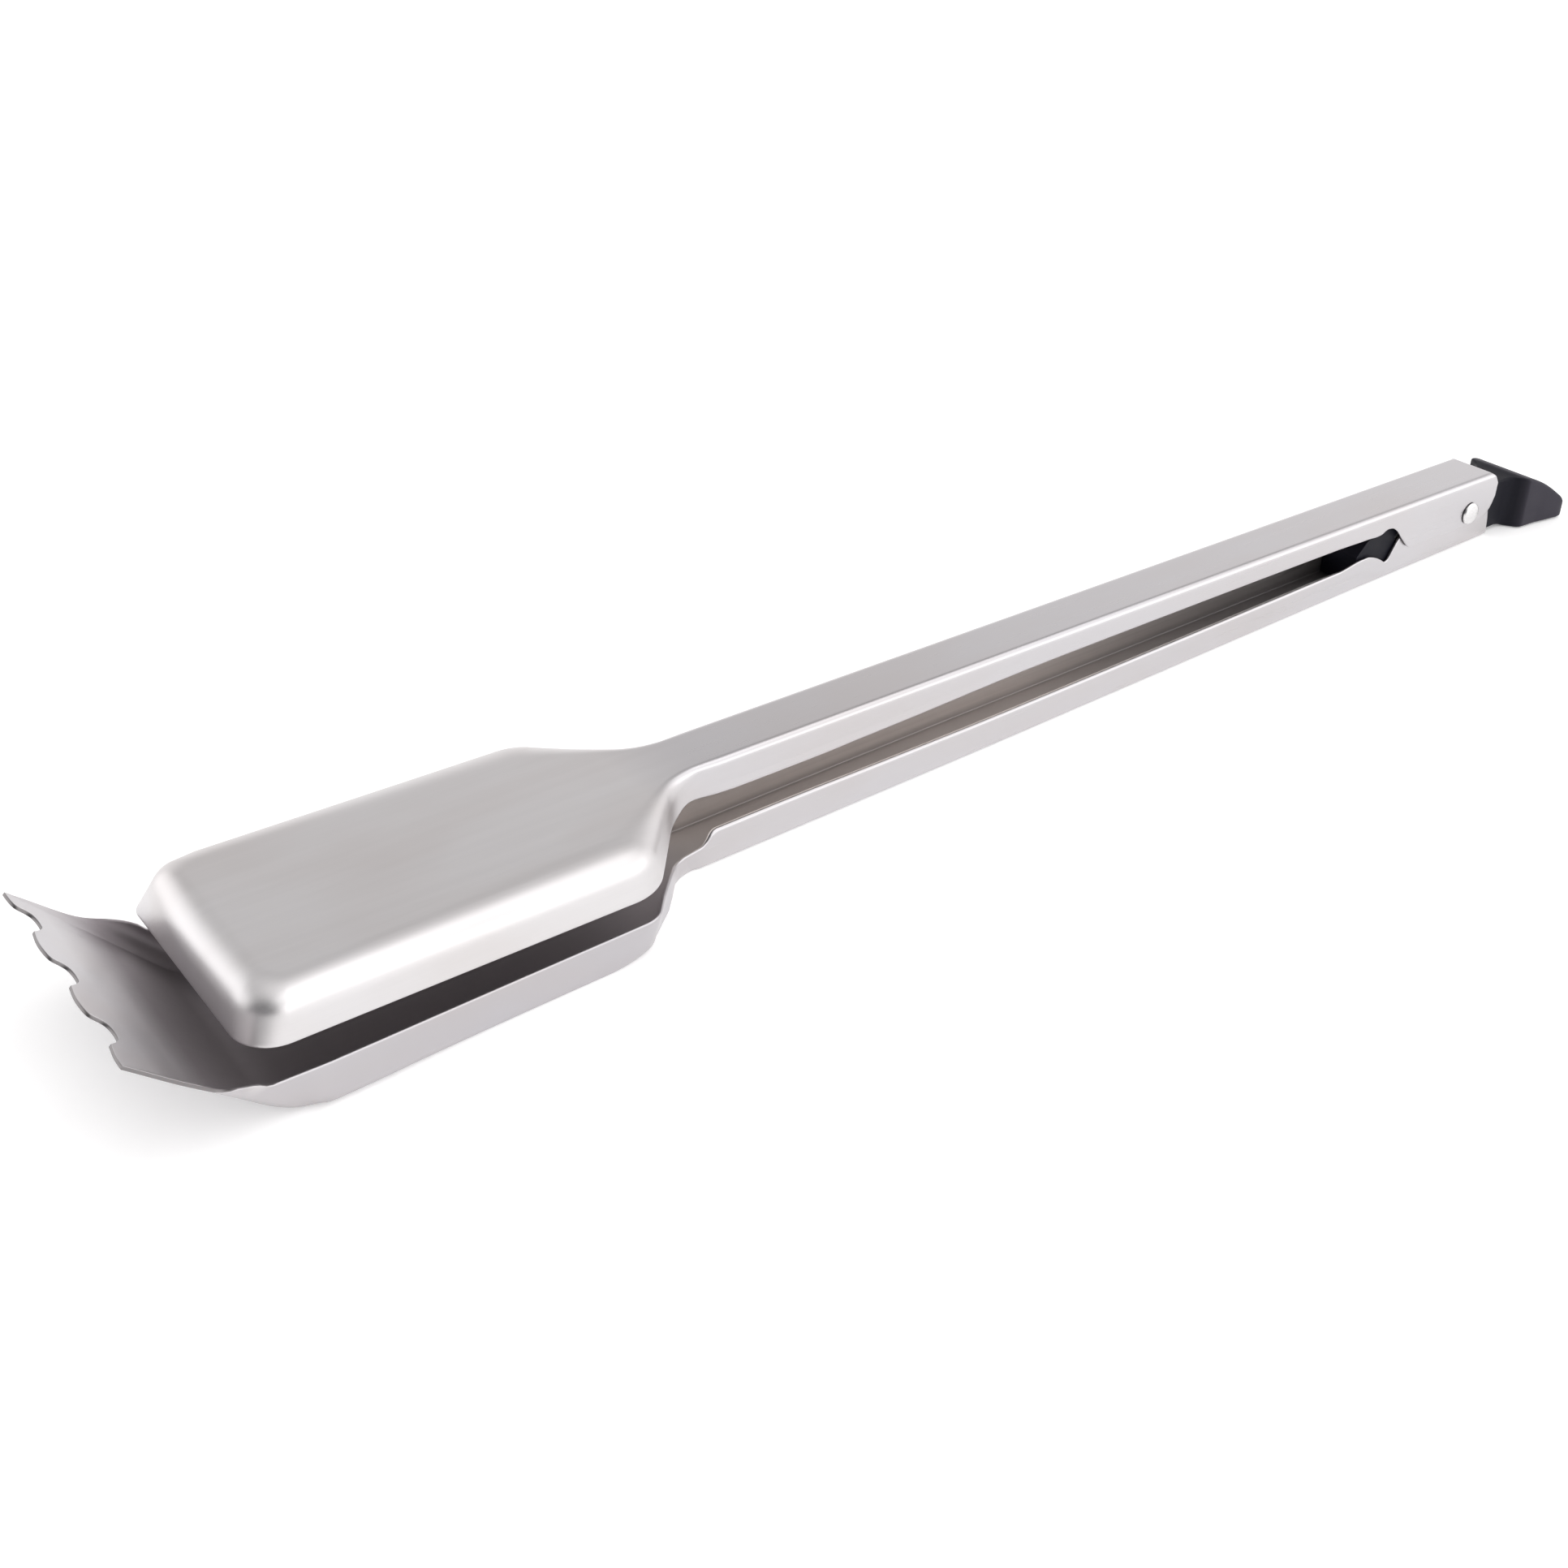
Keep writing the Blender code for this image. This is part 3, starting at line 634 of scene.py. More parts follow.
def lower_arm(finish):
    """The lower channel and scoop jaw, open upwards."""
    height_at = smooth_reader(LOWER_FLANGE)
    handle_width_at = straight_reader(
        ((TAPER_END, LOWER_HALF_WIDTH), (TAPER_START, LOWER_EAR_HALF_WIDTH))
    )
    marks = hinge_marks(LOWER_FLANGE) + [TAPER_START, TAPER_END]
    handle_x = handle_stations(LOWER_FLANGE[-1][0], NECK_END, marks, fine_near_curves)
    floor_side = JAW_HALF_WIDTH - LOWER_JAW_INSET
    rim = rounded_outline(
        [
            (NECK_END, LOWER_HALF_WIDTH),
            (NECK_X, LOWER_HALF_WIDTH),
            (SHOULDER_X, JAW_HALF_WIDTH),
            (LOWER_SIDE_END, JAW_HALF_WIDTH),
        ],
        (6.0, 6.5),
        CORNER_POINTS,
        (4,),
    )
    base = rounded_outline(
        [
            (NECK_END + 4.0, LOWER_HALF_WIDTH - LOWER_BEND),
            (NECK_X - LOWER_NECK_INSET, LOWER_HALF_WIDTH - LOWER_BEND),
            (SHOULDER_X - LOWER_SHOULDER_INSET, floor_side),
            (LOWER_SIDE_END, floor_side),
        ],
        (14.0, 22.0),
        CORNER_POINTS,
        (4,),
    )
    rim += stretch(rim[-1], (LOWER_SIDE_END, JAW_HALF_WIDTH), LOWER_SIDE_STEPS)
    base += stretch(base[-1], (LOWER_SIDE_END, floor_side), LOWER_SIDE_STEPS)
    bend_at = straight_reader(((NECK_END - 14.0, LOWER_JAW_BEND), (NECK_END, LOWER_BEND)))
    plan = [
        ((x, handle_width_at(x)), (x, handle_width_at(x) - LOWER_BEND)) for x in handle_x
    ]
    plan += [(tuple(edge), tuple(foot)) for edge, foot in zip(rim, base)]
    front_from = len(plan)
    fineness = (LOWER_ARC_STEPS, LOWER_MID_STEPS)
    walls = {}
    for side, tip_y in ((-1, TONGUE_NEAR_Y), (1, TONGUE_FAR_Y)):
        walls[side] = []
        for (x, y), (base_x, base_y) in plan:
            foot, edge = (base_x, side * base_y), (x, side * y)
            walls[side].append(wall_profile(foot, edge, height_at(x), bend_at(x), *fineness))
        tip = tongue_edge(tip_y)
        tip.y = abs(tip.y)
        flare = CUSP_FLARE if side > 0 else 0.0
        for share, spot in jaw_corner(tip, flare, LOWER_CORNER_STEPS):
            angle = math.radians(90.0) * share
            foot_x = LOWER_FLOOR_FRONT + LOWER_FLOOR_CORNER * (1 - math.sin(angle))
            foot_y = floor_side - LOWER_FLOOR_CORNER * (1 - math.cos(angle))
            bend = LOWER_JAW_BEND + (TONGUE_BEND - LOWER_JAW_BEND) * share
            foot, edge = (foot_x, side * foot_y), (spot.x, side * spot.y)
            walls[side].append(wall_profile(foot, edge, spot.z, bend, *fineness))
        across = [y for y in tooth_places() if y * side > 0]
        for y in sorted(across, key=abs, reverse=True):
            spot = tongue_edge(y)
            edge = (spot.x, spot.y)
            foot = (LOWER_FLOOR_FRONT, (floor_side - LOWER_FLOOR_CORNER) * y / abs(tip_y))
            walls[side].append(wall_profile(foot, edge, spot.z, TONGUE_BEND, *fineness))
    return sheet_from_walls(
        "lower_arm_sheet",
        walls[-1],
        walls[1],
        0,
        front_from + LOWER_CORNER_STEPS - HALF_CORNER,
        1,
        straight_reader(LOWER_HEM),
        lambda x: 0.0,
        finish,
    )


def turned(name, profile, finish, centre, segments=64):
    """A solid of revolution about an axis along Y; profile lists (radius, y) from axis to axis."""
    vertices, rings, faces = [], [], []
    for radius, y in profile:
        if radius == 0.0:
            rings.append([len(vertices)])
            vertices.append((0.0, y, 0.0))
            continue
        rings.append(list(range(len(vertices), len(vertices) + segments)))
        for step in range(segments):
            angle = math.tau * step / segments
            vertices.append((radius * math.cos(angle), y, radius * math.sin(angle)))
    pairs = list(zip(rings, rings[1:]))
    if len(rings[0]) > 1:
        pairs.append((rings[-1], rings[0]))
    for low, high in pairs:
        for step in range(segments):
            after = (step + 1) % segments
            if len(low) == 1:
                faces.append((low[0], high[after], high[step]))
            elif len(high) == 1:
                faces.append((low[step], low[after], high[0]))
            else:
                faces.append((low[step], low[after], high[after], high[step]))
    mesh = bpy.data.meshes.new(name)
    place = Vector(centre)
    mesh.from_pydata([(Vector(corner) + place) * MM for corner in vertices], [], faces)
    turn_outwards_closed(mesh)
    smooth_by_angle(mesh, 40.0)
    return link(name, mesh, finish)


def turn_outwards_closed(mesh):
    mesh.update()
    shape = bmesh.new()
    shape.from_mesh(mesh)
    bmesh.ops.recalc_face_normals(shape, faces=shape.faces)
    shape.to_mesh(mesh)
    shape.free()


def hinge_rivet(finish):
    """A shank with a low round head at each end, with a peened ring near the head's edge."""
    face = UPPER_HALF_WIDTH + 0.3
    head = 3.4
    crown = [
        (0.0, 1.16),
        (0.8, 1.15),
        (1.5, 1.1),
        (1.95, 1.03),
        (2.1, 0.97),
        (2.25, 0.97),
        (2.6, 0.9),
        (2.95, 0.74),
        (3.2, 0.52),
        (3.34, 0.28),
        (head, 0.1),
        (head, 0.0),
        (2.0, 0.0),
    ]
    profile = [(radius, face + height) for radius, height in crown]
    profile += [(radius, -y) for radius, y in profile[::-1]]
    return turned("rivet_heads", profile, finish, (0.0, 0.0, HINGE_Z))


def torsion_spring(finish):
    """Coils round the bush, one leg under the upper arm and one on the lower arm's floor."""
    wire, radius, turns, pitch, reach = 0.9, 3.7, 4, 1.25, 22.5
    half = turns * pitch / 2
    steps = 40
    gap = 0.3
    upper_rise = STACK - SHEET - gap - wire / 2 - HINGE_Z
    lower_drop = HINGE_Z - SHEET - gap - wire / 2
    path = [(-reach, -half, upper_rise), (-reach * 0.75, -half, upper_rise - 0.6)]
    path.append((-reach * 0.3, -half, radius + 2.2))
    total = int((turns + 0.5) * steps)
    for step in range(total + 1):
        angle = math.tau * step / steps
        y = -half + 2 * half * step / total
        path.append((radius * math.sin(angle), y, radius * math.cos(angle)))
    path.append((-reach * 0.3, half, -radius - 2.2))
    path.append((-reach * 0.75, half, 0.6 - lower_drop))
    path.append((-reach, half, -lower_drop))
    curve = bpy.data.curves.new("spring_wire", "CURVE")
    curve.dimensions = "3D"
    curve.bevel_depth = wire / 2 * MM
    curve.bevel_resolution = 4
    curve.use_fill_caps = True
    spline = curve.splines.new("POLY")
    spline.points.add(len(path) - 1)
    for point, place in zip(spline.points, path):
        point.co = (*((Vector(place) + Vector((0.0, 0.0, HINGE_Z))) * MM), 1.0)
    carrier = bpy.data.objects.new("spring_carrier", curve)
    bpy.context.scene.collection.objects.link(carrier)
    mesh = evaluated_mesh(carrier, "spring_wire")
    smooth_by_angle(mesh, 60.0)
    return link("spring_wire", mesh, finish)


def rounded_section(half_width, low, high, radius, steps):
    """A rectangle in Y and Z with round corners, as a closed ring of points."""
    radius = min(radius, 0.49 * (high - low), 0.49 * 2 * half_width)
    corners = (
        (half_width - radius, high - radius, 0.0),
        (-half_width + radius, high - radius, 90.0),
        (-half_width + radius, low + radius, 180.0),
        (half_width - radius, low + radius, 270.0),
    )
    ring = []
    for y, z, start in corners:
        for step in range(steps + 1):
            angle = math.radians(start + 90.0 * step / steps)
            ring.append((y + radius * math.cos(angle), z + radius * math.sin(angle)))
    return ring


def pull_tab(finish):
    """The flared thumb grip: rounded sections along X, with a waist in front of its crest."""
    front, back = 12.8, 44.0
    width_at = smooth_reader(
        (
            (front, 5.9),
            (18.4, 5.9),
            (20.6, 6.1),
            (22.2, 6.9),
            (23.8, 8.9),
            (24.9, 10.5),
            (25.5, 10.9),
            (26.4, 11.05),
            (31.7, 11.7),
            (35.3, 12.4),
            (39.2, 13.1),
            (41.4, 13.35),
            (42.6, 13.2),
            (43.5, 12.3),
            (back, 10.6),
        )
    )
    top_at = smooth_reader(
        (
            (front, 16.4),
            (18.4, 16.4),
            (24.6, 16.5),
            (26.4, 16.2),
            (31.7, 14.0),
            (35.3, 11.9),
            (39.2, 9.1),
            (42.0, 6.8),
            (43.3, 5.0),
            (back, 3.2),
        )
    )
    bottom_at = smooth_reader(
        ((front, 1.2), (18.0, 1.2), (20.6, 0.8), (23.0, 0.2), (42.6, 0.2), (43.5, 0.5), (back, 1.4))
    )
    round_at = smooth_reader(((front, 0.5), (20.0, 0.7), (24.0, 0.9), (38.0, 1.2), (back, 0.8)))
    stations = np.concatenate(
        [
            np.linspace(front, 18.4, 5),
            np.linspace(18.9, 27.0, 22),
            np.linspace(27.6, 41.0, 20),
            back - 3.0 * np.cos(np.radians(np.linspace(8.0, 90.0, 12))),
        ]
    )
    steps = 6
    rings = []
    for x in stations:
        ring = rounded_section(width_at(x), bottom_at(x), top_at(x), round_at(x), steps)
        rings.append([(x, y, z) for y, z in ring])
    size = len(rings[0])
    vertices = [Vector(point) * MM for ring in rings for point in ring]
    faces = [tuple(range(size))[::-1]]
    for row in range(len(rings) - 1):
        for column in range(size):
            after = (column + 1) % size
            first, second = row * size, (row + 1) * size
            faces.append((first + column, first + after, second + after, second + column))
    last = (len(rings) - 1) * size
    faces.append(tuple(range(last, last + size)))
    mesh = bpy.data.meshes.new("thumb_grip")
    mesh.from_pydata(vertices, [], faces)
    turn_outwards_closed(mesh)
    smooth_by_angle(mesh, 42.0)
    return link("thumb_grip", mesh, finish)


# Materials

SHEET_TINT = (0.60, 0.585, 0.60, 1.0)
# Painted light: the top of the upper jaw is painted brighter than the handle.
PAINTED_LIGHT_JAW_TINT = (0.70, 0.685, 0.69, 1.0)
STREAK_TINT = (0.50, 0.49, 0.49, 1.0)
BLOTCH_TINT = (0.54, 0.485, 0.46, 1.0)
# Inside of the sheet: a brownish tone, painted brighter along the handle channel as painted light
# inside it.
INNER_BROWNISH_PAINTED_LIGHT_TINT = (0.85, 0.80, 0.77, 1.0)
# Painted shade along the floor of the lower channel.
PAINTED_SHADE_INNER_FLOOR_TINT = (0.5, 0.47, 0.46, 1.0)
# Painted shade inside the jaws.
PAINTED_SHADE_INNER_JAW_TINT = (0.34, 0.31, 0.325, 1.0)
INNER_STREAK_TINT = (0.70, 0.64, 0.61, 1.0)
# Painted shade inside the channels toward the hinge.
PAINTED_SHADE_HINGE_TINT = (0.16, 0.155, 0.165, 1.0)
# Painted shade: the jaws are painted darker than the handle, except the upper jaw's top and the
# tongue's tip.
PAINTED_SHADE_JAW_TINT = (0.54, 0.525, 0.545, 1.0)
# Painted shade line along cut tooth edges and hem folds.
PAINTED_SHADE_EDGE_TINT = (0.16, 0.15, 0.15, 1.0)


class Nodes:
    """Short calls to build a node material."""

    def __init__(self, name):
        self.material = bpy.data.materials.new(name)
        self.material.use_nodes = True
        self.tree = self.material.node_tree
        self.shader = self.tree.nodes["Principled BSDF"]

    def add(self, kind, settings=None, **inputs):
        node = self.tree.nodes.new(kind)
        for key, value in (settings or {}).items():
            setattr(node, key, value)
        for key, value in inputs.items():
            self.put(node.inputs[key.replace("_", " ")], value)
        return node

    def put(self, socket, value):
        if isinstance(value, bpy.types.NodeSocket):
            self.tree.links.new(value, socket)
        else:
            socket.default_value = value

    def place(self, scale):
        """Object coordinates in metres, stretched by a scale for each axis."""
        coordinates = self.add("ShaderNodeTexCoord").outputs["Object"]
        mapping = self.add("ShaderNodeMapping", Vector=coordinates, Scale=scale)
        return mapping.outputs["Vector"]

    def noise(self, vector, scale, detail=4.0, roughness=0.55):
        node = self.add(
            "ShaderNodeTexNoise", Vector=vector, Scale=scale, Detail=detail, Roughness=roughness
        )
        return node.outputs["Fac"]

    def ramp(self, value, low, high, out_low, out_high):
        """Maps a range of values to another, clamped."""
        node = self.tree.nodes.new("ShaderNodeMapRange")
        self.put(node.inputs["Value"], value)
        node.inputs["From Min"].default_value = low
        node.inputs["From Max"].default_value = high
        node.inputs["To Min"].default_value = out_low
        node.inputs["To Max"].default_value = out_high
        return node.outputs["Result"]

    def mix(self, factor, first, second):
        node = self.tree.nodes.new("ShaderNodeMix")
        node.data_type = "RGBA"
        self.put(node.inputs["Factor"], factor)
        sockets = [socket for socket in node.inputs if socket.type == "RGBA"]
        self.put(sockets[0], first)
        self.put(sockets[1], second)
        return next(socket for socket in node.outputs if socket.type == "RGBA")

    def math(self, operation, first, second):
        node = self.tree.nodes.new("ShaderNodeMath")
        node.operation = operation
        self.put(node.inputs[0], first)
        self.put(node.inputs[1], second)
        return node.outputs[0]

    def bump(self, height, strength, distance, normal=None):
        node = self.add("ShaderNodeBump", Height=height, Strength=strength, Distance=distance)
        if normal is not None:
            self.put(node.inputs["Normal"], normal)
        return node.outputs["Normal"]


def pressed_steel():
    """Rolled sheet: faint brushing along X; painted light brightens the upper jaw's top and painted
    shade darkens the rest of the jaws; rougher inside, with a brownish inner tone, painted light
    along the handle channel and painted shade on its floor, toward the hinge, inside the jaws and
    along cut edges and hem folds.
    """
    nodes = Nodes("brushed_steel")
    fine = nodes.noise(nodes.place((40.0, 4200.0, 4200.0)), 1.0, 3.0, 0.6)
    broad = nodes.noise(nodes.place((8.0, 600.0, 600.0)), 1.0, 3.0, 0.5)
    blotch = nodes.noise(nodes.place((24.0, 60.0, 60.0)), 1.0, 2.0, 0.5)
    half_fine = nodes.math("MULTIPLY", fine, 0.5)
    half_broad = nodes.math("MULTIPLY", broad, 0.5)
    streak = nodes.math("ADD", half_fine, half_broad)
    coordinates = nodes.add("ShaderNodeTexCoord").outputs["Object"]
    place = nodes.add("ShaderNodeSeparateXYZ", Vector=coordinates)
    along, height = place.outputs["X"], place.outputs["Z"]
    on_jaw = nodes.ramp(along, -0.282, -0.300, 0.0, 1.0)
    # Painted light: the top of the upper jaw is painted brighter.
    upper_jaw_painted_light_mask = nodes.math("MULTIPLY", on_jaw, nodes.ramp(along, -0.404, -0.400, 0.0, 1.0))
    upper_jaw_painted_light_mask = nodes.math("MULTIPLY", upper_jaw_painted_light_mask, nodes.ramp(height, 0.0105, 0.0125, 0.0, 1.0))
    # Painted shade: the rest of the jaws is painted darker, fading out at the tongue's tip.
    jaw_painted_shade_mask = nodes.math("MULTIPLY", on_jaw, nodes.ramp(along, -0.414, -0.403, 0.0, 1.0))
    outer_grain_and_painted_light = nodes.mix(jaw_painted_shade_mask, SHEET_TINT, PAINTED_SHADE_JAW_TINT)
    outer_grain_and_painted_light = nodes.mix(upper_jaw_painted_light_mask, outer_grain_and_painted_light, PAINTED_LIGHT_JAW_TINT)
    outer_grain_and_painted_light = nodes.mix(nodes.ramp(streak, 0.35, 0.65, 0.12, 0.0), outer_grain_and_painted_light, STREAK_TINT)
    outer_grain_and_painted_light = nodes.mix(nodes.ramp(blotch, 0.4, 0.7, 0.0, 0.22), outer_grain_and_painted_light, BLOTCH_TINT)
    # Inside: a brownish tone with random streaks, painted brighter as painted light inside the
    # handle channel.
    brownish_inner_painted_light_and_shade = nodes.mix(nodes.ramp(broad, 0.4, 0.65, 0.0, 0.45), INNER_BROWNISH_PAINTED_LIGHT_TINT, INNER_STREAK_TINT)
    # Painted shade on the inner faces lowest down, within about 3 mm of the underside.
    brownish_inner_painted_light_and_shade = nodes.mix(nodes.ramp(height, 0.0010, 0.0030, 1.0, 0.0), brownish_inner_painted_light_and_shade, PAINTED_SHADE_INNER_FLOOR_TINT)
    # Painted shade toward the hinge end.
    brownish_inner_painted_light_and_shade = nodes.mix(nodes.ramp(along, -0.17, -0.06, 0.0, 0.7), brownish_inner_painted_light_and_shade, PAINTED_SHADE_HINGE_TINT)
    # Painted shade inside the jaws.
    brownish_inner_painted_jaw_shade = nodes.mix(on_jaw, brownish_inner_painted_light_and_shade, PAINTED_SHADE_INNER_JAW_TINT)
    inside = nodes.add("ShaderNodeAttribute", {"attribute_name": "inside"}).outputs["Fac"]
    # The inner faces, all but the tongue's tip, take the brownish tone with its painted light and
    # painted shade; the same mask makes them rougher.
    inner_brownish_and_painted_shade_mask = nodes.math("MULTIPLY", inside, nodes.ramp(along, -0.4185, -0.4085, 0.0, 1.0))
    color = nodes.mix(inner_brownish_and_painted_shade_mask, outer_grain_and_painted_light, brownish_inner_painted_jaw_shade)
    # Painted shade line along cut tooth edges and hem folds.
    painted_edge_shade = nodes.add("ShaderNodeAttribute", {"attribute_name": "painted_edge_shade"}).outputs["Fac"]
    color = nodes.mix(nodes.math("MULTIPLY", painted_edge_shade, 0.85), color, PAINTED_SHADE_EDGE_TINT)
    nodes.put(nodes.shader.inputs["Base Color"], color)
    smooth = nodes.ramp(streak, 0.35, 0.65, 0.27, 0.31)
    satin = nodes.math("MULTIPLY", on_jaw, 0.10)
    dulled = nodes.math("MULTIPLY", inner_brownish_and_painted_shade_mask, 0.24)
    rough = nodes.math("ADD", smooth, nodes.math("MAXIMUM", satin, dulled))
    nodes.put(nodes.shader.inputs["Roughness"], rough)
    nodes.shader.inputs["Metallic"].default_value = 1.0
    nodes.put(nodes.shader.inputs["Normal"], nodes.bump(streak, 0.05, 0.00002))
    return nodes.material


def polished_steel(name, color, roughness):
    """Turned or drawn steel with fine wear."""
    nodes = Nodes(name)
    wear = nodes.noise(nodes.place((900.0, 900.0, 900.0)), 1.0, 4.0, 0.6)
    darker = tuple(0.86 * part for part in color)
    nodes.put(nodes.shader.inputs["Base Color"], nodes.mix(wear, (*darker, 1.0), (*color, 1.0)))
    nodes.put(
        nodes.shader.inputs["Roughness"],
        nodes.ramp(wear, 0.3, 0.7, roughness * 0.8, roughness * 1.3),
    )
    nodes.shader.inputs["Metallic"].default_value = 1.0
    nodes.put(nodes.shader.inputs["Normal"], nodes.bump(wear, 0.12, 0.00002))
    return nodes.material


def slate_plastic():
    """Satin moulded plastic with a fine spark-eroded grain; the thumb grip's wing is painted
    lighter, as painted light.
    """
    nodes = Nodes("slate_plastic")
    grain = nodes.noise(nodes.place((5200.0, 5200.0, 5200.0)), 1.0, 3.0, 0.6)
    cloud = nodes.noise(nodes.place((160.0, 160.0, 160.0)), 1.0, 3.0, 0.5)
    coordinates = nodes.add("ShaderNodeTexCoord").outputs["Object"]
    along = nodes.add("ShaderNodeSeparateXYZ", Vector=coordinates).outputs["X"]
    color = nodes.mix(cloud, (0.005, 0.005, 0.009, 1.0), (0.008, 0.008, 0.014, 1.0))
    # Painted light: the thumb grip's wing behind its waist is painted lighter than its neck and the
    # slider.
    painted_light_on_wing = nodes.ramp(along, 0.0235, 0.0262, 0.0, 1.0)
    color = nodes.mix(painted_light_on_wing, color, (0.035, 0.032, 0.043, 1.0))
    nodes.put(nodes.shader.inputs["Base Color"], color)
    nodes.put(nodes.shader.inputs["Roughness"], nodes.ramp(cloud, 0.3, 0.7, 0.46, 0.56))
    nodes.shader.inputs["Specular IOR Level"].default_value = 0.15
    nodes.put(nodes.shader.inputs["Normal"], nodes.bump(grain, 0.25, 0.00004))
    return nodes.material


def floor_material():
    nodes = Nodes("pale_floor")
    grain = nodes.noise(nodes.place((3.0, 3.0, 3.0)), 1.0, 3.0, 0.5)
    color = nodes.mix(grain, (0.89, 0.89, 0.89, 1.0), (0.91, 0.91, 0.91, 1.0))
    nodes.put(nodes.shader.inputs["Base Color"], color)
    nodes.shader.inputs["Roughness"].default_value = 0.8
    nodes.shader.inputs["Specular IOR Level"].default_value = 0.1
    nodes.shader.inputs["Emission Color"].default_value = (1.0, 1.0, 1.0, 1.0)
    nodes.shader.inputs["Emission Strength"].default_value = FLOOR_GLOW
    return nodes.material


# Stage, in metres

FLOOR_HALF = 4.0
FLOOR_GAP = 0.0001
FLOOR_GLOW = 0.24
SKY_STRENGTH = 1.2
SKY_WARMTH = 0.985
# The sky's brightness: (height of the direction, 0 at the horizon and 1 overhead, level)
SKY_LEVELS = (
    (0.0, 1.0),
    (0.42, 0.88),
    (0.50, 0.70),
    (0.56, 0.47),
    (0.62, 0.33),
    (0.70, 0.36),
    (0.85, 0.62),
    (1.0, 0.95),
)
FLAG_DIRECTION = (-0.90, -0.35, 0.24)
FLAG_FADE_FROM = 0.78
FLAG_FULL_FROM = 0.90
FLAG_TINT = (0.05, 0.05, 0.055, 1.0)
LENS = 43.10
CAMERA_PLACE = (-0.48116, -0.30246, 0.25186)
CAMERA_DOWN = math.radians(32.875)
CAMERA_TURN = math.radians(36.856)


def make_floor():
    half = FLOOR_HALF
    mesh = bpy.data.meshes.new("floor")
    corners = [(-half, -half, 0.0), (half, -half, 0.0), (half, half, 0.0), (-half, half, 0.0)]
    mesh.from_pydata(corners, [], [(0, 1, 2, 3)])
    mesh.update()
    floor = link("floor", mesh, floor_material())
    floor.location = (0.0, 0.0, -FLOOR_GAP)


def area_light(name, place, target, size, watts):
    data = bpy.data.lights.new(name, "AREA")
    data.shape = "RECTANGLE"
    data.size, data.size_y = size
    data.energy = watts
    lamp = bpy.data.objects.new(name, data)
    bpy.context.scene.collection.objects.link(lamp)
    lamp.location = place
    aim = Vector(target) - Vector(place)
    lamp.rotation_euler = aim.to_track_quat("-Z", "Y").to_euler()


def make_sky():
    """A soft sky, dimmest halfway up, with a dark flag low down beyond the jaws."""
    world = bpy.data.worlds.new("studio")
    world.use_nodes = True
    tree = world.node_tree
    coordinates = tree.nodes.new("ShaderNodeTexCoord")
    split = tree.nodes.new("ShaderNodeSeparateXYZ")
    ramp = tree.nodes.new("ShaderNodeValToRGB")
    tree.links.new(coordinates.outputs["Generated"], split.inputs[0])
    tree.links.new(split.outputs["Z"], ramp.inputs["Fac"])
    elements = ramp.color_ramp.elements
    while len(elements) < len(SKY_LEVELS):
        elements.new(0.5)
    for element, (place, level) in zip(elements, SKY_LEVELS):
        element.position = place
        element.color = (level, level * SKY_WARMTH, level * SKY_WARMTH, 1.0)
    toward = tree.nodes.new("ShaderNodeVectorMath")
    toward.operation = "DOT_PRODUCT"
    tree.links.new(coordinates.outputs["Generated"], toward.inputs[0])
    toward.inputs[1].default_value = FLAG_DIRECTION
    shade = tree.nodes.new("ShaderNodeMapRange")
    tree.links.new(toward.outputs["Value"], shade.inputs["Value"])
    shade.inputs["From Min"].default_value = FLAG_FADE_FROM
    shade.inputs["From Max"].default_value = FLAG_FULL_FROM
    dimmed = tree.nodes.new("ShaderNodeMix")
    dimmed.data_type = "RGBA"
    tree.links.new(shade.outputs["Result"], dimmed.inputs["Factor"])
    colors = [socket for socket in dimmed.inputs if socket.type == "RGBA"]
    tree.links.new(ramp.outputs["Color"], colors[0])
    colors[1].default_value = FLAG_TINT
    result = next(socket for socket in dimmed.outputs if socket.type == "RGBA")
    background = tree.nodes["Background"]
    tree.links.new(result, background.inputs["Color"])
    background.inputs["Strength"].default_value = SKY_STRENGTH
    bpy.context.scene.world = world


def make_lights():
    centre = (-0.2, 0.0, 0.02)
    area_light("key_softbox", (0.35, -1.3, 1.5), centre, (4.4, 3.1), 42.0)
    area_light("front_softbox", (-1.5, 1.3, 0.6), (-0.4, 0.0, 0.02), (1.8, 1.3), 4.5)


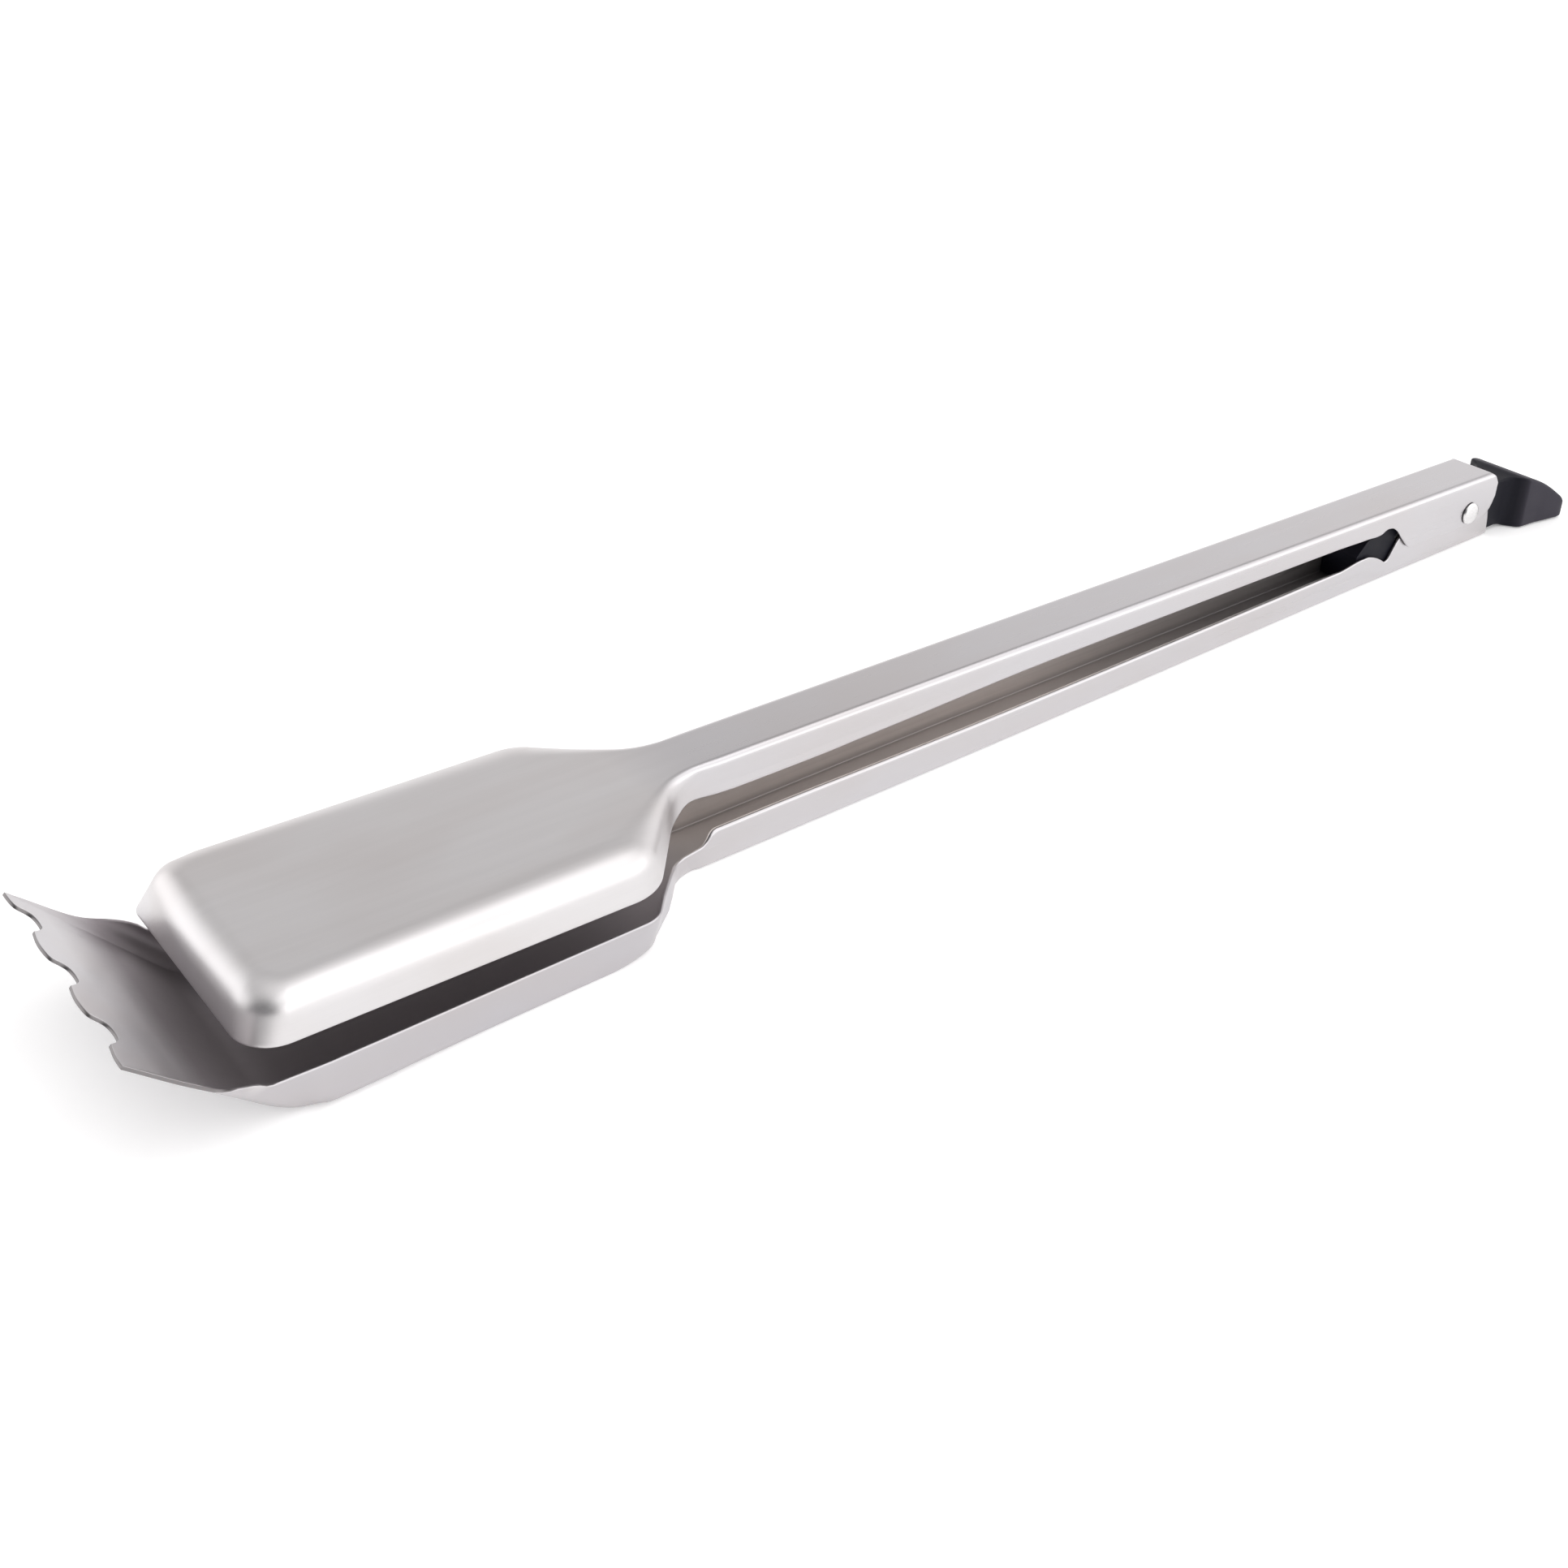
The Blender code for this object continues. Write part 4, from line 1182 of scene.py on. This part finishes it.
def make_camera():
    """The photograph's place and angle: about 33 degrees down, from the near left."""
    data = bpy.data.cameras.new("camera")
    data.sensor_width = 36.0
    data.lens = LENS
    data.clip_start = 0.01
    data.clip_end = 50.0
    camera = bpy.data.objects.new("camera", data)
    bpy.context.scene.collection.objects.link(camera)
    camera.location = CAMERA_PLACE
    camera.rotation_euler = Euler((math.radians(90.0) - CAMERA_DOWN, 0.0, -CAMERA_TURN), "XYZ")
    bpy.context.scene.camera = camera


def softened_copy(node, name, width, finish):
    """A copy of a CAD node's mesh with small rounded edges."""
    carrier = link("soft_carrier", node.data.copy(), finish)
    bevel = carrier.modifiers.new("soft_edge", "BEVEL")
    bevel.width = width * MM
    bevel.segments = 3
    bevel.limit_method = "ANGLE"
    bevel.angle_limit = math.radians(40.0)
    return link(name, evaluated_mesh(carrier, name), finish)


def set_material(node, finish):
    node.data.materials.clear()
    node.data.materials.append(finish)


def main():
    nodes = frame["nodes"]

    steel = pressed_steel()
    rivet_steel = polished_steel("rivet_steel", (0.82, 0.81, 0.81), 0.28)
    bush_steel = polished_steel("bush_steel", (0.6, 0.6, 0.6), 0.3)
    wire_steel = polished_steel("spring_steel", (0.5, 0.5, 0.52), 0.28)
    plastic = slate_plastic()

    upper = upper_arm(steel)
    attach(upper, "upper")
    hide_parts("upper_arm")

    lower = lower_arm(steel)
    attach(lower, "lower")
    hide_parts("lower_arm")

    rivet = hinge_rivet(rivet_steel)
    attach(rivet, "upper")
    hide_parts("hinge_rivet")

    spring = torsion_spring(wire_steel)
    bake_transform(spring)
    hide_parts("torsion_spring")

    grip = pull_tab(plastic)
    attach(grip, "lock")
    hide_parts("pull_tab")

    slider = softened_copy(nodes["lock_slider"], "slider_bar", 0.4, plastic)
    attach(slider, "lock")
    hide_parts("lock_slider")

    set_material(nodes["pivot_bush"], bush_steel)
    for name in ("lock_pin", "tab_pin"):
        set_material(nodes[name], rivet_steel)

    make_floor()
    make_sky()
    make_lights()
    make_camera()
    bpy.context.scene.view_settings.view_transform = "Standard"


main()
